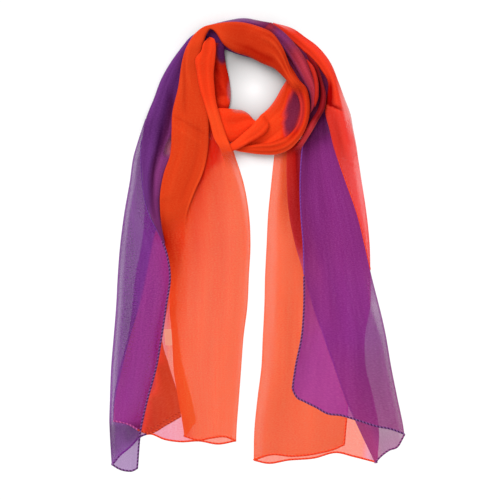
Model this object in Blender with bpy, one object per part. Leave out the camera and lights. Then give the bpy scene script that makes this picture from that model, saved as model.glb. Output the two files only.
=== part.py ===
"""A long chiffon scarf laid out flat, with one turn round the neck opening and both ends down.

Plan positions and heights are in millimetres: +X right, +Y towards the back of the neck, +Z up
from the surface that the scarf lies on. Each stretch of cloth is laid on what is already there,
so a height is never typed in: it follows from the wall, the gap between plies and the order.
"""
import math

import bpy
import bmesh
import numpy as np

MM = 0.001

# Driving dimensions
WALL = 1.0
PLY_GAP = 0.32
HEM_EXTRA = 0.6
LABEL_WALL = 0.6

# Section of a strand: layered edges, then a domed crown with pleats in it
EDGE_LAYER = 1.1
EDGE_GROOVE = 0.9
GROOVE_MOST = 0.08
EDGE_COLUMNS = ("groove_share", "lift_share")
EDGE_PROFILE = ((0.0, 1.0), (1.3, 1.25), (0.5, 1.6), (0.9, 2.4))
DOME_POWER = 0.7
PLEAT_DEPTH = 0.38
PLEAT_SHIFT = 0.15

# Grid that remembers how high the cloth already lies
CELL = 0.8
PILE_HALF_X = 215.0
PILE_HALF_Y = 315.0
PLY_APRON = 2.5
STRAND_APRON = 0.8
SAMPLES = 22

# Rounds that pull the underside taut between the high places below it
PLY_ROUNDS = 6
STRAND_ROUNDS = 10

# Rows and columns of the meshes, along the scarf and across one ply or strand
TAIL_ROWS = 20
INNER_PLY_ROWS = 16
RIGHT_PLY_COLUMNS = {"P": 9, "Q": 6, "R": 6, "S": 10, "T": 7}
LEFT_PLY_COLUMNS = {"bottom": 12, "purple": 6, "orange": 5, "turned": 2, "coral": 7, "flap": 5}
FOLD_STEPS = 3
UNDER_COLUMNS = 4
SHARP_ANGLE = 50.0

# Left end: a row for each section, with the x of every fold and hem at that y
LEFT_COLUMNS = ("y", "fold_left", "purple_hem", "purple_ply_left", "orange_ply_left",
                "inner_right", "coral_left", "turned_edge", "fold_right")
LEFT_ROWS = (
    (128, -156, -151, -148, -113, -66, -111, -104, -33),
    (118, -159, -151, -148, -115, -67, -112, -105, -30),
    (80, -165, -149, -147, -125, -77, -123, -116, -18),
    (40, -172, -141, -146, -127, -88, -124, -117, -11),
    (0, -177, -121, -150, -136, -96, -119, -112, -9),
    (-40, -180, -113, -158, -144, -105, -112, -105, -11),
    (-80, -182, -118, -162, -153, -115, -113, -107, -13),
    (-120, -185, -124, -168, -165, -122, -110, -103, -18),
    (-160, -188, -131, -178, -175, -116, -107, -96, -21),
    (-200, -189.5, -142, -186, -184, -105, -102, -85, -24),
    (-240, -190.6, -151, -187, -187, -98, -95, -82, -27),
    (-294, -188, -156, -187, -187, -97, -92, -80, -28),
)

# Right end: the same, from the purple hem on top to the orange hem inside
RIGHT_COLUMNS = ("y", "purple_hem", "fold_a", "fold_b", "fold_c", "fold_d", "orange_hem")
RIGHT_ROWS = (
    (171, 66, 90, 44, 124, 28, 60),
    (118, 58, 102, 39, 130, 23, 72),
    (80, 56, 115, 39, 136, 19, 88),
    (40, 57, 129, 42, 142, 15, 100),
    (0, 60, 139, 50, 146, 13, 108),
    (-40, 61, 148, 62, 147, 11, 112),
    (-80, 61, 158, 73, 147, 10, 115),
    (-120, 58, 167, 87, 140, 8, 117),
    (-160, 50, 174, 101, 141, 6, 118),
    (-200, 45, 182, 115, 151, 1, 118),
    (-240, 45, 190, 133, 158, -3, 115),
    (-284, 45, 193, 153, 157, -4, 111),
)

# Hems across the ends, as (x, y) from left to right
LEFT_FLAP_HEM = ((-188, -286), (-180, -291), (-170, -294), (-162, -294), (-156, -291))
LEFT_BOTTOM_HEM = ((-188, -286), (-178, -274), (-165, -263), (-152, -250), (-140, -246),
                   (-120, -253), (-100, -256), (-75, -255), (-50, -259), (-28, -255))
LEFT_CORAL_HEM = ((-94, -249), (-76, -254), (-58, -251), (-40, -250), (-28, -255))
LEFT_TURNED_HEM = ((-94, -249), (-80, -232))
LEFT_INNER_HEM = ((-187, -229), (-166, -234), (-152, -242), (-140, -245), (-118, -234),
                  (-99, -223))
LEFT_HIGH = ((-156, 119), (-113, 119), (-66, 122), (-33, 128))
LEFT_HIGH_INNER = 119
RIGHT_PURPLE_HEM = ((45, -184), (50, -196), (62, -204), (78, -212), (90, -219), (110, -222),
                    (130, -228), (155, -236), (175, -240), (191, -246))
RIGHT_CORNER_HEM = ((153, -283), (159, -276), (170, -266), (184, -261), (191, -246))
RIGHT_TIP_HEM = ((153, -283), (157, -283))
RIGHT_LOWER_HEM = ((-4, -280), (14, -284), (40, -280), (75, -277), (103, -270), (125, -275),
                   (157, -283))
RIGHT_UPPER_HEM = ((-4, -280), (18, -273), (45, -275), (80, -271), (100, -266), (111, -261))
RIGHT_HIGH_TOP = ((66, 130), (75, 160), (84, 171), (90, 171))
RIGHT_HIGH_MIDDLE = ((39, 124), (62, 142), (90, 171))
RIGHT_HIGH_THIRD = ((39, 124), (130, 122.5))
RIGHT_HIGH_LOW = 122.5

# Care label: y, left x and right x of its two ends
LABEL_ROWS = ((-110, -120.5, -111.5), (-131, -118.5, -109.5))

# Soft folds down a ply, as fractions of its width at the top and the end of the ply
PLY_FOLD_COLUMNS = ("high_place", "low_place", "height", "half_width")
CORAL_FOLDS = ((0.60, 0.42, 1.8, 13.0), (0.84, 0.78, 1.2, 10.0), (0.30, 0.16, 1.3, 12.0))
LEFT_FLAP_FOLDS = ((0.40, 0.55, 1.2, 12.0),)
PURPLE_FLAP_FOLDS = ((0.34, 0.26, 1.6, 13.0), (0.66, 0.58, 1.9, 15.0), (0.86, 0.84, 1.1, 10.0))
ORANGE_PLY_FOLDS = ((0.16, 0.24, 1.5, 11.0), (0.55, 0.62, 1.3, 12.0))

# Width of purple cloth from the purple hem, measured across the folded wall
LEFT_PURPLE_WIDTH = 105.0
RIGHT_PURPLE_WIDTH = 195.0

# Strands of the neck turn: a row for each section, inner edge, outer edge and rise of the crown
STRAND_COLUMNS = ("inner_x", "inner_y", "outer_x", "outer_y", "rise")
BACK_STRAND = (
    (-72, 262, -72, 280, 1.0), (-58, 261, -62, 285, 2.5), (-45, 255, -50, 288.5, 3.5),
    (-30, 249, -35, 292, 4.5), (-10, 243, -17, 294.3, 5.0), (12, 238, 3, 291, 5.0),
    (30, 229, 28, 285, 4.5), (42, 216, 50, 270, 4.0), (50, 202, 70, 250, 3.5),
    (55, 187, 86, 228, 3.0), (57, 172, 92, 205, 2.0), (57, 160, 92, 180, 1.0),
    (57, 149, 90, 163, 0.5),
)
OUTER_BAND = (
    (18, 281, 21, 288, 1.0), (38, 269, 47, 280, 3.0), (54, 256, 63, 269, 4.0),
    (68, 242, 79, 257, 5.0), (79, 228, 95, 237, 5.5), (88, 210, 106, 211, 5.0),
    (90, 192, 113, 192, 4.0), (89, 172, 121, 171, 3.0), (94, 147, 125, 150, 2.0),
    (100, 124, 130, 124, 1.0),
)
LEFT_GATHER = (
    (-108, 120, -158, 120, 1.0), (-103, 145, -151, 145, 2.0), (-100, 166, -144, 166, 3.0),
    (-98, 190, -134, 190, 3.5), (-94, 212, -125, 214, 4.0), (-88, 234, -112, 237, 4.0),
    (-80, 252, -99, 255, 3.5), (-70, 266, -86, 270, 2.5), (-58, 276, -66, 282, 1.0),
)
INNER_LEFT_WALL = (
    (-76, 262, -50, 262, 1.0), (-84, 246, -45, 249, 1.5), (-85, 230, -40, 233, 2.0),
    (-82, 212, -36, 214, 2.0), (-78, 196, -34, 197, 2.0), (-74, 180, -35, 184, 1.5),
    (-71, 164, -40, 168, 1.0), (-68, 146, -36, 150, 1.0), (-66, 132, -34, 134, 0.5),
    (-65, 122, -33, 122, 0.5),
)
MAROON_STRAND = (
    (6, 277, 18, 288, 1.5), (25, 262, 36, 274, 4.0), (39, 246, 50, 259, 5.0),
    (50, 229, 63, 241, 5.0), (60, 211, 72, 221, 5.0), (67, 197, 78, 204, 4.0),
    (69, 183, 77, 186, 3.0), (66, 171, 72, 169, 1.0),
)
OUTER_MAROON_STRAND = (
    (61, 246, 65, 251, 1.0), (72, 229, 78, 233, 3.0), (80, 211, 85, 213, 4.0),
    (82, 192, 90, 192, 5.0), (79, 176, 88, 177, 5.0), (69, 160, 79, 160, 4.0),
    (61, 146, 71, 146, 3.0), (52, 130, 61, 130, 2.0), (42, 119, 54, 116, 1.0),
)
THIN_RED_STRAND = (
    (62, 238, 66, 242, 1.0), (69, 226, 74, 229, 3.0), (73.5, 212, 79, 213, 4.0),
    (74.5, 195, 80, 195, 4.0), (72, 179, 78, 178, 1.5),
)
LOOP_INNER = (
    (38, 213, 50, 206, 1.0), (31, 200, 56, 195, 2.5), (26, 190, 60, 183, 3.5),
    (20, 182, 61, 169, 4.0), (13, 177, 57, 155, 4.0), (8, 170, 48, 143, 4.0),
    (4, 158, 34, 133, 3.5), (-3, 147, 18, 127, 3.0), (-12, 137, 2, 124, 2.0),
    (-20, 130, -12, 122, 1.0),
)
LOOP_OUTER = (
    (35, 222, 43, 233, 1.0), (39, 213, 48.5, 224, 3.5), (46, 205, 56, 212, 5.5),
    (51, 196, 64, 203, 6.5),
    (55, 185, 68, 188, 7.0), (56, 172, 68.5, 172, 7.0), (53, 158, 65, 155, 7.0),
    (46, 147, 57, 139, 6.5), (35, 138, 43, 124, 6.0), (21, 133, 26, 117, 5.5),
    (5, 131, 3, 117, 4.5), (-11, 129, -13, 120, 3.0), (-23, 127, -25, 123, 1.0),
)
TOP_BAND = (
    (-62, 121, -112, 120, 1.0), (-62, 142, -111, 146, 2.5), (-66, 172, -110, 171, 4.0),
    (-72, 204, -104, 204, 5.5), (-79, 236, -98, 239, 6.0), (-69, 259, -91, 257, 6.0),
    (-65, 273, -80, 274, 5.0), (-60, 279, -68, 283, 4.0), (-54, 275, -56, 286, 5.0),
    (-44, 260, -45, 288, 7.0), (-30, 250, -32, 289, 8.0), (-12, 244, -16, 290, 8.5),
    (6, 235, 4, 286, 8.5), (22, 228, 22, 274, 8.0), (33, 219, 37, 254, 7.0),
    (38.3, 213.6, 46.5, 226, 4.5),
)
FRONT_LEFT_PANEL = (
    (-42, 140, -57, 177, 1.0), (-34, 133, -42, 177, 2.0), (-24, 134, -28, 175.5, 3.0),
    (-14, 142, -18, 174, 3.0), (-7, 150, -10, 169.5, 2.0), (-1.5, 158, -2.5, 163, 0.5),
)
CROSS_STRAND = (
    (12, 177, 17, 168, 1.0), (5, 171.5, 17, 156, 4.0), (-1, 164, 11, 145, 5.5),
    (-8, 155, 1, 138, 6.0), (-16, 147, -9, 132, 6.0), (-25, 140, -18, 127, 4.5),
    (-34, 133, -27, 123.5, 2.0),
)
INNER_LEFT_STRAND = (
    (-55, 273, -65, 270, 1.0), (-56, 258, -69, 256, 4.0), (-54, 240, -73, 239, 6.0),
    (-56, 222, -73.5, 222, 6.5), (-55, 204, -71.5, 204, 6.5), (-53, 186, -68, 187, 6.5),
    (-49, 170, -64, 171, 6.0), (-45, 154, -60.5, 155, 5.0), (-40, 138, -56, 138, 3.5),
    (-34, 124, -51, 126, 1.0),
)

# Colours from the photo, then roughness
ORANGE = (0.90, 0.10, 0.02)
BURNT_ORANGE = (0.70, 0.09, 0.02)
CORAL = (0.95, 0.20, 0.10)
RED = (0.62, 0.03, 0.03)
MAROON = (0.30, 0.02, 0.06)
PURPLE = (0.20, 0.05, 0.26)
LABEL_WHITE = (0.85, 0.72, 0.66)
CHIFFON_ROUGHNESS = 0.62


def clear_scene():
    for item in list(bpy.data.objects):
        bpy.data.objects.remove(item, do_unlink=True)


def spline(knots, values, at):
    """Smooth curve through values at rising knots, straight beyond both ends."""
    knots = np.asarray(knots, dtype=float)
    values = np.asarray(values, dtype=float)
    at = np.asarray(at, dtype=float)
    steps = np.diff(knots)
    slopes = np.diff(values) / steps
    tangents = np.empty_like(values)
    tangents[0] = slopes[0]
    tangents[-1] = slopes[-1]
    if len(knots) > 2:
        before = steps[:-1]
        after = steps[1:]
        tangents[1:-1] = (slopes[:-1] * after + slopes[1:] * before) / (before + after)
    index = np.clip(np.searchsorted(knots, at) - 1, 0, len(steps) - 1)
    step = steps[index]
    u = (at - knots[index]) / step
    inside = np.clip(u, 0.0, 1.0)
    u2 = inside * inside
    u3 = u2 * inside
    curve = ((2 * u3 - 3 * u2 + 1) * values[index] + (u3 - 2 * u2 + inside) * step * tangents[index]
             + (3 * u2 - 2 * u3) * values[index + 1] + (u3 - u2) * step * tangents[index + 1])
    beyond = np.where(u > 1.0, (u - 1.0) * step * tangents[-1], 0.0)
    return curve + np.where(u < 0.0, u * step * tangents[0], beyond)


def column(rows, names, name):
    """Function of y for one named column of a table whose rows run from high y to low y."""
    place = names.index(name)
    ys = [row[0] for row in reversed(rows)]
    xs = [row[place] for row in reversed(rows)]
    return lambda y: spline(ys, xs, y)


def across(edge, left, right, fractions):
    """Height in the plan of a ply's end, at each fraction of its width."""
    if isinstance(edge, (int, float)):
        return np.full_like(fractions, float(edge))
    places = []
    for x, y in edge:
        start = float(left(y))
        places.append((x - start) / (float(right(y)) - start))
    return spline(places, [y for x, y in edge], fractions)


def ply_plan(left, right, high, low, rows, columns):
    """Plan of one ply: rows run down the scarf, columns from its left edge to its right."""
    fractions = np.linspace(0.0, 1.0, columns + 1)
    top = across(high, left, right, fractions)
    bottom = across(low, left, right, fractions)
    down = np.linspace(0.0, 1.0, rows + 1)[:, None]
    y = top[None, :] + down * (bottom - top)[None, :]
    x = left(y) * (1.0 - fractions) + right(y) * fractions
    return np.stack([x, y], axis=-1)


def strand_plan(table, rows, columns):
    """Plan of a strand between its two edges, and the rise of its crown at each row."""
    value = dict(zip(STRAND_COLUMNS, np.asarray(table, dtype=float).T))
    inner = np.stack([value["inner_x"], value["inner_y"]], axis=-1)
    outer = np.stack([value["outer_x"], value["outer_y"]], axis=-1)
    steps = np.linalg.norm(np.diff((inner + outer) / 2, axis=0), axis=1)
    walked = np.concatenate([[0.0], np.cumsum(steps)])
    at = np.linspace(0.0, walked[-1], rows + 1)
    smooth = {name: spline(walked, value[name], at) for name in STRAND_COLUMNS}
    fractions = np.linspace(0.0, 1.0, columns + 1)[None, :]
    x = smooth["inner_x"][:, None] * (1.0 - fractions) + smooth["outer_x"][:, None] * fractions
    y = smooth["inner_y"][:, None] * (1.0 - fractions) + smooth["outer_y"][:, None] * fractions
    return np.stack([x, y], axis=-1), smooth["rise"]


class Pile:
    """Height of the cloth laid so far, on a square grid."""

    def __init__(self):
        self.across_cells = int(2 * PILE_HALF_X / CELL)
        self.along_cells = int(2 * PILE_HALF_Y / CELL)
        self.height = np.zeros((self.across_cells, self.along_cells))

    def cells(self, points):
        i = np.rint((points[..., 0] + PILE_HALF_X) / CELL).astype(int)
        j = np.rint((points[..., 1] + PILE_HALF_Y) / CELL).astype(int)
        return np.clip(i, 0, self.across_cells - 1), np.clip(j, 0, self.along_cells - 1)

    def spread_height(self):
        """Each cell with the highest of itself and its neighbours."""
        padded = np.pad(self.height, 1)
        stack = [padded[a:a + self.across_cells, b:b + self.along_cells]
                 for a in range(3) for b in range(3)]
        return np.max(stack, axis=0)

    def rest(self, plan, rounds, apron):
        """Underside of a sheet laid here: clear of all below it, and taut between high places."""
        grid = widened(plan, apron)
        step = np.linspace(0.0, 1.0, SAMPLES)
        a = step[:, None, None]
        b = step[None, :, None]
        corner = grid[:-1, :-1, None, None]
        right = grid[:-1, 1:, None, None]
        down = grid[1:, :-1, None, None]
        far = grid[1:, 1:, None, None]
        points = corner * (1 - a) * (1 - b) + right * (1 - a) * b + down * a * (1 - b) + far * a * b
        i, j = self.cells(points)
        below = self.spread_height()[i, j]
        highest = below.max(axis=(2, 3))
        floor = np.max([highest[:-1, :-1], highest[:-1, 1:], highest[1:, :-1], highest[1:, 1:]],
                       axis=0)
        floor = np.where(floor > 0.0, floor + PLY_GAP, 0.0)
        height = floor.copy()
        for _ in range(rounds):
            edge = np.pad(height, 1, mode="edge")
            mean = (edge[:-2, 1:-1] + edge[2:, 1:-1] + edge[1:-1, :-2] + edge[1:-1, 2:]) / 4
            height = np.maximum(floor, mean)
        return np.maximum(height - slack(height, below, step), 0.0)

    def lay(self, points, triangles):
        """Raise the grid to the top of a mesh."""
        corners = points[np.asarray(triangles)]
        weights = []
        for a in range(SAMPLES + 1):
            for b in range(SAMPLES + 1 - a):
                weights.append((a, b, SAMPLES - a - b))
        weights = np.asarray(weights, dtype=float) / SAMPLES
        filled = np.einsum("wc,tcx->twx", weights, corners)
        i, j = self.cells(filled)
        np.maximum.at(self.height, (i.ravel(), j.ravel()), filled[..., 2].ravel())


def slack(height, below, step):
    """How far a sheet with these heights can come down before it is one gap from the cloth.

    below holds the cloth's height at each step down and across each square, the apron's too.
    """
    down_share = step[:, None]
    across_share = step[None, :]
    wide = np.pad(height, 1, mode="edge")
    corner = wide[:-1, :-1, None, None]
    right = wide[:-1, 1:, None, None]
    down = wide[1:, :-1, None, None]
    far = wide[1:, 1:, None, None]
    over = corner * (1 - across_share) + right * (across_share - down_share) + far * down_share
    under = corner * (1 - down_share) + down * (down_share - across_share) + far * across_share
    room = np.where(across_share >= down_share, over, under) - below
    if not (below > 0.0).any():
        return 0.0
    return max(room[below > 0.0].min() - PLY_GAP, 0.0)


def widened(plan, apron):
    """The plan with one more row and column on every side, a small apron away."""
    def beyond(edge, inner):
        away = edge - inner
        length = np.linalg.norm(away, axis=-1, keepdims=True)
        return edge + away / length * apron

    left = beyond(plan[:, :1], plan[:, 1:2])
    right = beyond(plan[:, -1:], plan[:, -2:-1])
    wide = np.concatenate([left, plan, right], axis=1)
    first = beyond(wide[:1], wide[1:2])
    last = beyond(wide[-1:], wide[-2:-1])
    return np.concatenate([first, wide, last], axis=0)


def grid_triangles(index):
    """Two triangles for each square of a grid of vertex numbers."""
    a = index[:-1, :-1].ravel()
    b = index[:-1, 1:].ravel()
    c = index[1:, 1:].ravel()
    d = index[1:, :-1].ravel()
    return np.concatenate([np.stack([a, b, c], axis=1), np.stack([a, c, d], axis=1)])


def shell_from_sides(front, back):
    """Closed wall between two grids of points that share their rows and columns."""
    rows, columns = front.shape[:2]
    points = np.concatenate([front.reshape(-1, 3), back.reshape(-1, 3)])
    one = np.arange(rows * columns).reshape(rows, columns)
    two = one + rows * columns
    faces = [grid_triangles(one), grid_triangles(two[:, ::-1])]
    for edge_one, edge_two in ((one[0], two[0]), (one[-1], two[-1]),
                               (one[:, 0], two[:, 0]), (one[:, -1], two[:, -1])):
        faces.append(grid_triangles(np.stack([edge_one, edge_two])))
    return points, np.concatenate(faces)


def tube_from_rings(rings):
    """Closed solid through rings of points, with a fan over each end."""
    rows, count = rings.shape[:2]
    centres = np.stack([rings[0].mean(axis=0), rings[-1].mean(axis=0)])
    points = np.concatenate([rings.reshape(-1, 3), centres])
    index = np.arange(rows * count).reshape(rows, count)
    around = np.concatenate([index, index[:, :1]], axis=1)
    faces = [grid_triangles(around)]
    for ring, centre in ((around[0], rows * count), (around[-1], rows * count + 1)):
        faces.append(np.stack([ring[:-1], ring[1:], np.full(count, centre)], axis=1))
    return points, np.concatenate(faces)


def purple_side(points, triangles, purple_width):
    """Which triangles of a folded wall lie within a width of its first edge, the purple hem."""
    sheet = points[:len(points) // 2].reshape(TAIL_ROWS + 1, -1, 3)
    columns = sheet.shape[1]
    steps = np.linalg.norm(np.diff(sheet[TAIL_ROWS // 2], axis=0), axis=-1)
    walked = np.concatenate([[0.0], np.cumsum(steps)])
    return walked[(triangles % columns).min(axis=1)] < purple_width


def make_object(name, points, triangles, materials, second=None):
    """One closed mesh object, in metres, with its faces pointing out.

    second marks the triangles that take the second material.
    """
    mesh = bpy.data.meshes.new(name)
    mesh.from_pydata([tuple(point * MM) for point in points], [],
                     [tuple(int(v) for v in triangle) for triangle in triangles])
    shape = bmesh.new()
    shape.from_mesh(mesh)
    bmesh.ops.recalc_face_normals(shape, faces=shape.faces)
    if shape.calc_volume(signed=True) < 0.0:
        bmesh.ops.reverse_faces(shape, faces=shape.faces)
    shape.to_mesh(mesh)
    shape.free()
    mesh.shade_smooth()
    mesh.set_sharp_from_angle(angle=math.radians(SHARP_ANGLE))
    for material in materials:
        mesh.materials.append(material)
    if second is not None:
        mesh.polygons.foreach_set("material_index", second.astype(np.int32))
    item = bpy.data.objects.new(name, mesh)
    bpy.context.scene.collection.objects.link(item)
    return item


def cloth_material(name, colour):
    material = bpy.data.materials.new(name)
    material.use_nodes = True
    shader = material.node_tree.nodes["Principled BSDF"]
    shader.inputs["Base Color"].default_value = (*colour, 1.0)
    shader.inputs["Roughness"].default_value = CHIFFON_ROUGHNESS
    shader.inputs["Metallic"].default_value = 0.0
    material.diffuse_color = (*colour, 1.0)
    return material


def soft_folds(plan, folds):
    """Height of the soft folds that run down a ply, none at its own edges."""
    rows, columns = plan.shape[:2]
    down = np.linspace(0.0, 1.0, rows)[:, None]
    place = np.linspace(0.0, 1.0, columns)[None, :]
    width = np.linalg.norm(plan[:, -1] - plan[:, 0], axis=-1)[:, None]
    height = np.zeros((rows, columns))
    for row in folds:
        fold = dict(zip(PLY_FOLD_COLUMNS, row))
        middle = fold["high_place"] + (fold["low_place"] - fold["high_place"]) * down
        reach = (place - middle) * width / fold["half_width"]
        height += fold["height"] * np.exp(-reach ** 2)
    return height * np.sqrt(np.clip(np.sin(math.pi * place), 0.0, 1.0))


def lay_ply(pile, plan, wall=WALL, rounds=PLY_ROUNDS, hem_left=False, hem_right=False,
            hem_low=False, folds=()):
    """Underside and top of one ply on the pile; a hemmed edge is a little thicker."""
    under = pile.rest(plan, rounds, PLY_APRON) + soft_folds(plan, folds)
    thick = np.full(under.shape, wall)
    if hem_left:
        thick[:, 0] += HEM_EXTRA
    if hem_right:
        thick[:, -1] += HEM_EXTRA
    if hem_low:
        thick[-1, :] = wall + HEM_EXTRA
    bottom = np.concatenate([plan, under[..., None]], axis=-1)
    top = np.concatenate([plan, (under + thick)[..., None]], axis=-1)
    points, triangles = shell_from_sides(top, bottom)
    pile.lay(points, triangles)
    return top, bottom


def turn(first, second, at_right):
    """Half-round fold between the edges of two plies, as columns of front and back points."""
    edge = -1 if at_right else 0
    inner = -2 if at_right else 1
    first_top, first_bottom = first[0][:, edge], first[1][:, edge]
    second_top, second_bottom = second[0][:, edge], second[1][:, edge]
    away = first[0][:, edge, :2] - first[0][:, inner, :2]
    away = away / np.linalg.norm(away, axis=-1, keepdims=True)
    upward = second_top[:, 2] > first_top[:, 2]
    outer_start = np.where(upward[:, None], first_bottom, first_top)
    outer_end = np.where(upward[:, None], second_top, second_bottom)
    inner_start = np.where(upward[:, None], first_top, first_bottom)
    inner_end = np.where(upward[:, None], second_bottom, second_top)
    outer = []
    inside = []
    for step in range(1, FOLD_STEPS):
        angle = math.pi * step / FOLD_STEPS
        outer.append(arc_point(outer_start, outer_end, away, angle))
        inside.append(arc_point(inner_start, inner_end, away, angle))
    outer = np.stack(outer, axis=1)
    inside = np.stack(inside, axis=1)
    return outer, inside, upward


def arc_point(start, end, away, angle):
    """Point of the half circle that leaves start, swings out along away and reaches end."""
    middle = (start + end) / 2
    radius = np.abs(end[:, 2] - start[:, 2]) / 2
    point = middle + (start - middle) * math.cos(angle)
    point[:, :2] += away * (radius * math.sin(angle))[:, None]
    return point


def folded_wall(plies, starts_left):
    """Front and back of one wall that runs through plies, turning at each shared edge.

    Each ply is a pair of grids, top and underside, and the wall walks them in turn, first to
    the right or to the left, so its front is a top, then an underside, then a top again.
    """
    front = []
    back = []
    to_right = starts_left
    front_is_top = True
    for number, ply in enumerate(plies):
        top, bottom = ply
        walk_top = top if to_right else top[:, ::-1]
        walk_bottom = bottom if to_right else bottom[:, ::-1]
        front.append(walk_top if front_is_top else walk_bottom)
        back.append(walk_bottom if front_is_top else walk_top)
        if number + 1 < len(plies):
            outer, inside, upward = turn(ply, plies[number + 1], to_right)
            front_outside = (upward != front_is_top)[:, None, None]
            front.append(np.where(front_outside, outer, inside))
            back.append(np.where(front_outside, inside, outer))
            to_right = not to_right
            front_is_top = not front_is_top
    return shell_from_sides(np.concatenate(front, axis=1), np.concatenate(back, axis=1))


def crown_height(fraction, pleats):
    """Height of a strand's crown at a fraction of its width, as a share of its rise."""
    dome = math.sin(math.pi * fraction) ** DOME_POWER
    pleat = (1.0 + math.cos(2 * math.pi * (pleats * fraction + PLEAT_SHIFT))) / 2
    return dome * (1.0 - PLEAT_DEPTH + PLEAT_DEPTH * pleat)


def strand(pile, table, rows, pleats=2, crown_columns=7):
    """Rounded solid for the hidden layers of one strand, with layered edges and pleats on top."""
    plan, rise = strand_plan(table, rows, UNDER_COLUMNS)
    under = pile.rest(plan, STRAND_ROUNDS, STRAND_APRON)
    under_places = np.linspace(0.0, 1.0, UNDER_COLUMNS + 1)
    inner = plan[:, 0]
    outer = plan[:, -1]
    width = np.linalg.norm(outer - inner, axis=-1)
    inset = np.minimum(EDGE_GROOVE, GROOVE_MOST * width) / width

    def place(fraction, lift):
        """Points of one line along the strand, at a fraction of its width and a lift."""
        fraction = np.broadcast_to(fraction, width.shape)
        ground = np.array([np.interp(f, under_places, under[k]) for k, f in enumerate(fraction)])
        flat = inner + (outer - inner) * fraction[:, None]
        return np.concatenate([flat, (ground + lift)[:, None]], axis=-1)

    edge = [dict(zip(EDGE_COLUMNS, row)) for row in EDGE_PROFILE]
    edge_top = EDGE_LAYER * edge[-1]["lift_share"]
    lines = [place(fraction, 0.0) for fraction in under_places]
    for row in edge:
        lines.append(place(1.0 - row["groove_share"] * inset, EDGE_LAYER * row["lift_share"]))
    for number in range(1, crown_columns):
        fraction = 1.0 - number / crown_columns
        lines.append(place(fraction, edge_top + rise * crown_height(fraction, pleats)))
    for row in reversed(edge):
        lines.append(place(row["groove_share"] * inset, EDGE_LAYER * row["lift_share"]))
    points, triangles = tube_from_rings(np.stack(lines, axis=1))
    pile.lay(points, triangles)
    return points, triangles


def lay_right_tail(pile):
    """One wall in five plies: S at the bottom, T inside it, then R, Q and the purple flap P."""
    edge = {name: column(RIGHT_ROWS, RIGHT_COLUMNS, name) for name in RIGHT_COLUMNS[1:]}

    def plan(ply, left, right, high, low):
        return ply_plan(edge[left], edge[right], high, low, TAIL_ROWS, RIGHT_PLY_COLUMNS[ply])

    s_plan = plan("S", "fold_d", "fold_c", RIGHT_HIGH_LOW, RIGHT_LOWER_HEM)
    ply_s = lay_ply(pile, s_plan, hem_low=True)
    t_plan = plan("T", "fold_d", "orange_hem", RIGHT_HIGH_LOW, RIGHT_UPPER_HEM)
    ply_t = lay_ply(pile, t_plan, hem_low=True, hem_right=True, folds=ORANGE_PLY_FOLDS)
    r_plan = plan("R", "fold_b", "fold_c", RIGHT_HIGH_THIRD, RIGHT_TIP_HEM)
    ply_r = lay_ply(pile, r_plan)
    q_plan = plan("Q", "fold_b", "fold_a", RIGHT_HIGH_MIDDLE, RIGHT_CORNER_HEM)
    ply_q = lay_ply(pile, q_plan, hem_low=True)
    p_plan = plan("P", "purple_hem", "fold_a", RIGHT_HIGH_TOP, RIGHT_PURPLE_HEM)
    ply_p = lay_ply(pile, p_plan, hem_low=True, hem_left=True, folds=PURPLE_FLAP_FOLDS)
    points, triangles = folded_wall((ply_p, ply_q, ply_r, ply_s, ply_t), starts_left=True)
    pile.lay(points, triangles)
    return points, triangles


def lay_left_tail(pile):
    """One wall in four plies with two plies and the label between them."""
    edge = {name: column(LEFT_ROWS, LEFT_COLUMNS, name) for name in LEFT_COLUMNS[1:]}

    def plan(ply, left, right, high, low, rows=TAIL_ROWS):
        return ply_plan(edge[left], edge[right], high, low, rows, LEFT_PLY_COLUMNS[ply])

    bottom_plan = plan("bottom", "fold_left", "fold_right", LEFT_HIGH, LEFT_BOTTOM_HEM)
    bottom = lay_ply(pile, bottom_plan, hem_low=True)
    label = lay_label(pile)
    purple_plan = plan("purple", "purple_ply_left", "inner_right", LEFT_HIGH_INNER,
                       LEFT_INNER_HEM, INNER_PLY_ROWS)
    purple = lay_ply(pile, purple_plan, hem_low=True)
    orange_plan = plan("orange", "orange_ply_left", "inner_right", LEFT_HIGH_INNER,
                       LEFT_INNER_HEM, INNER_PLY_ROWS)
    orange = lay_ply(pile, orange_plan, hem_low=True)
    turned_plan = plan("turned", "coral_left", "turned_edge", LEFT_HIGH_INNER, LEFT_TURNED_HEM)
    turned = lay_ply(pile, turned_plan, hem_right=True)
    coral_plan = plan("coral", "coral_left", "fold_right", LEFT_HIGH, LEFT_CORAL_HEM)
    coral = lay_ply(pile, coral_plan, hem_low=True, folds=CORAL_FOLDS)
    flap_plan = plan("flap", "fold_left", "purple_hem", LEFT_HIGH_INNER, LEFT_FLAP_HEM)
    flap = lay_ply(pile, flap_plan, hem_low=True, hem_right=True, folds=LEFT_FLAP_FOLDS)
    points, triangles = folded_wall((flap, bottom, coral, turned), starts_left=False)
    pile.lay(points, triangles)
    return {
        "left_tail_wrap": (points, triangles),
        "left_tail_purple_ply": shell_from_sides(*purple),
        "left_tail_orange_ply": shell_from_sides(*orange),
        "care_label": label,
    }


def lay_label(pile):
    """Small bare label, a thin plate on the bottom ply."""
    rows = [[(left, y), (right, y)] for y, left, right in LABEL_ROWS]
    plan = np.asarray(rows, dtype=float)
    return shell_from_sides(*lay_ply(pile, plan, wall=LABEL_WALL, rounds=0))


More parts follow.
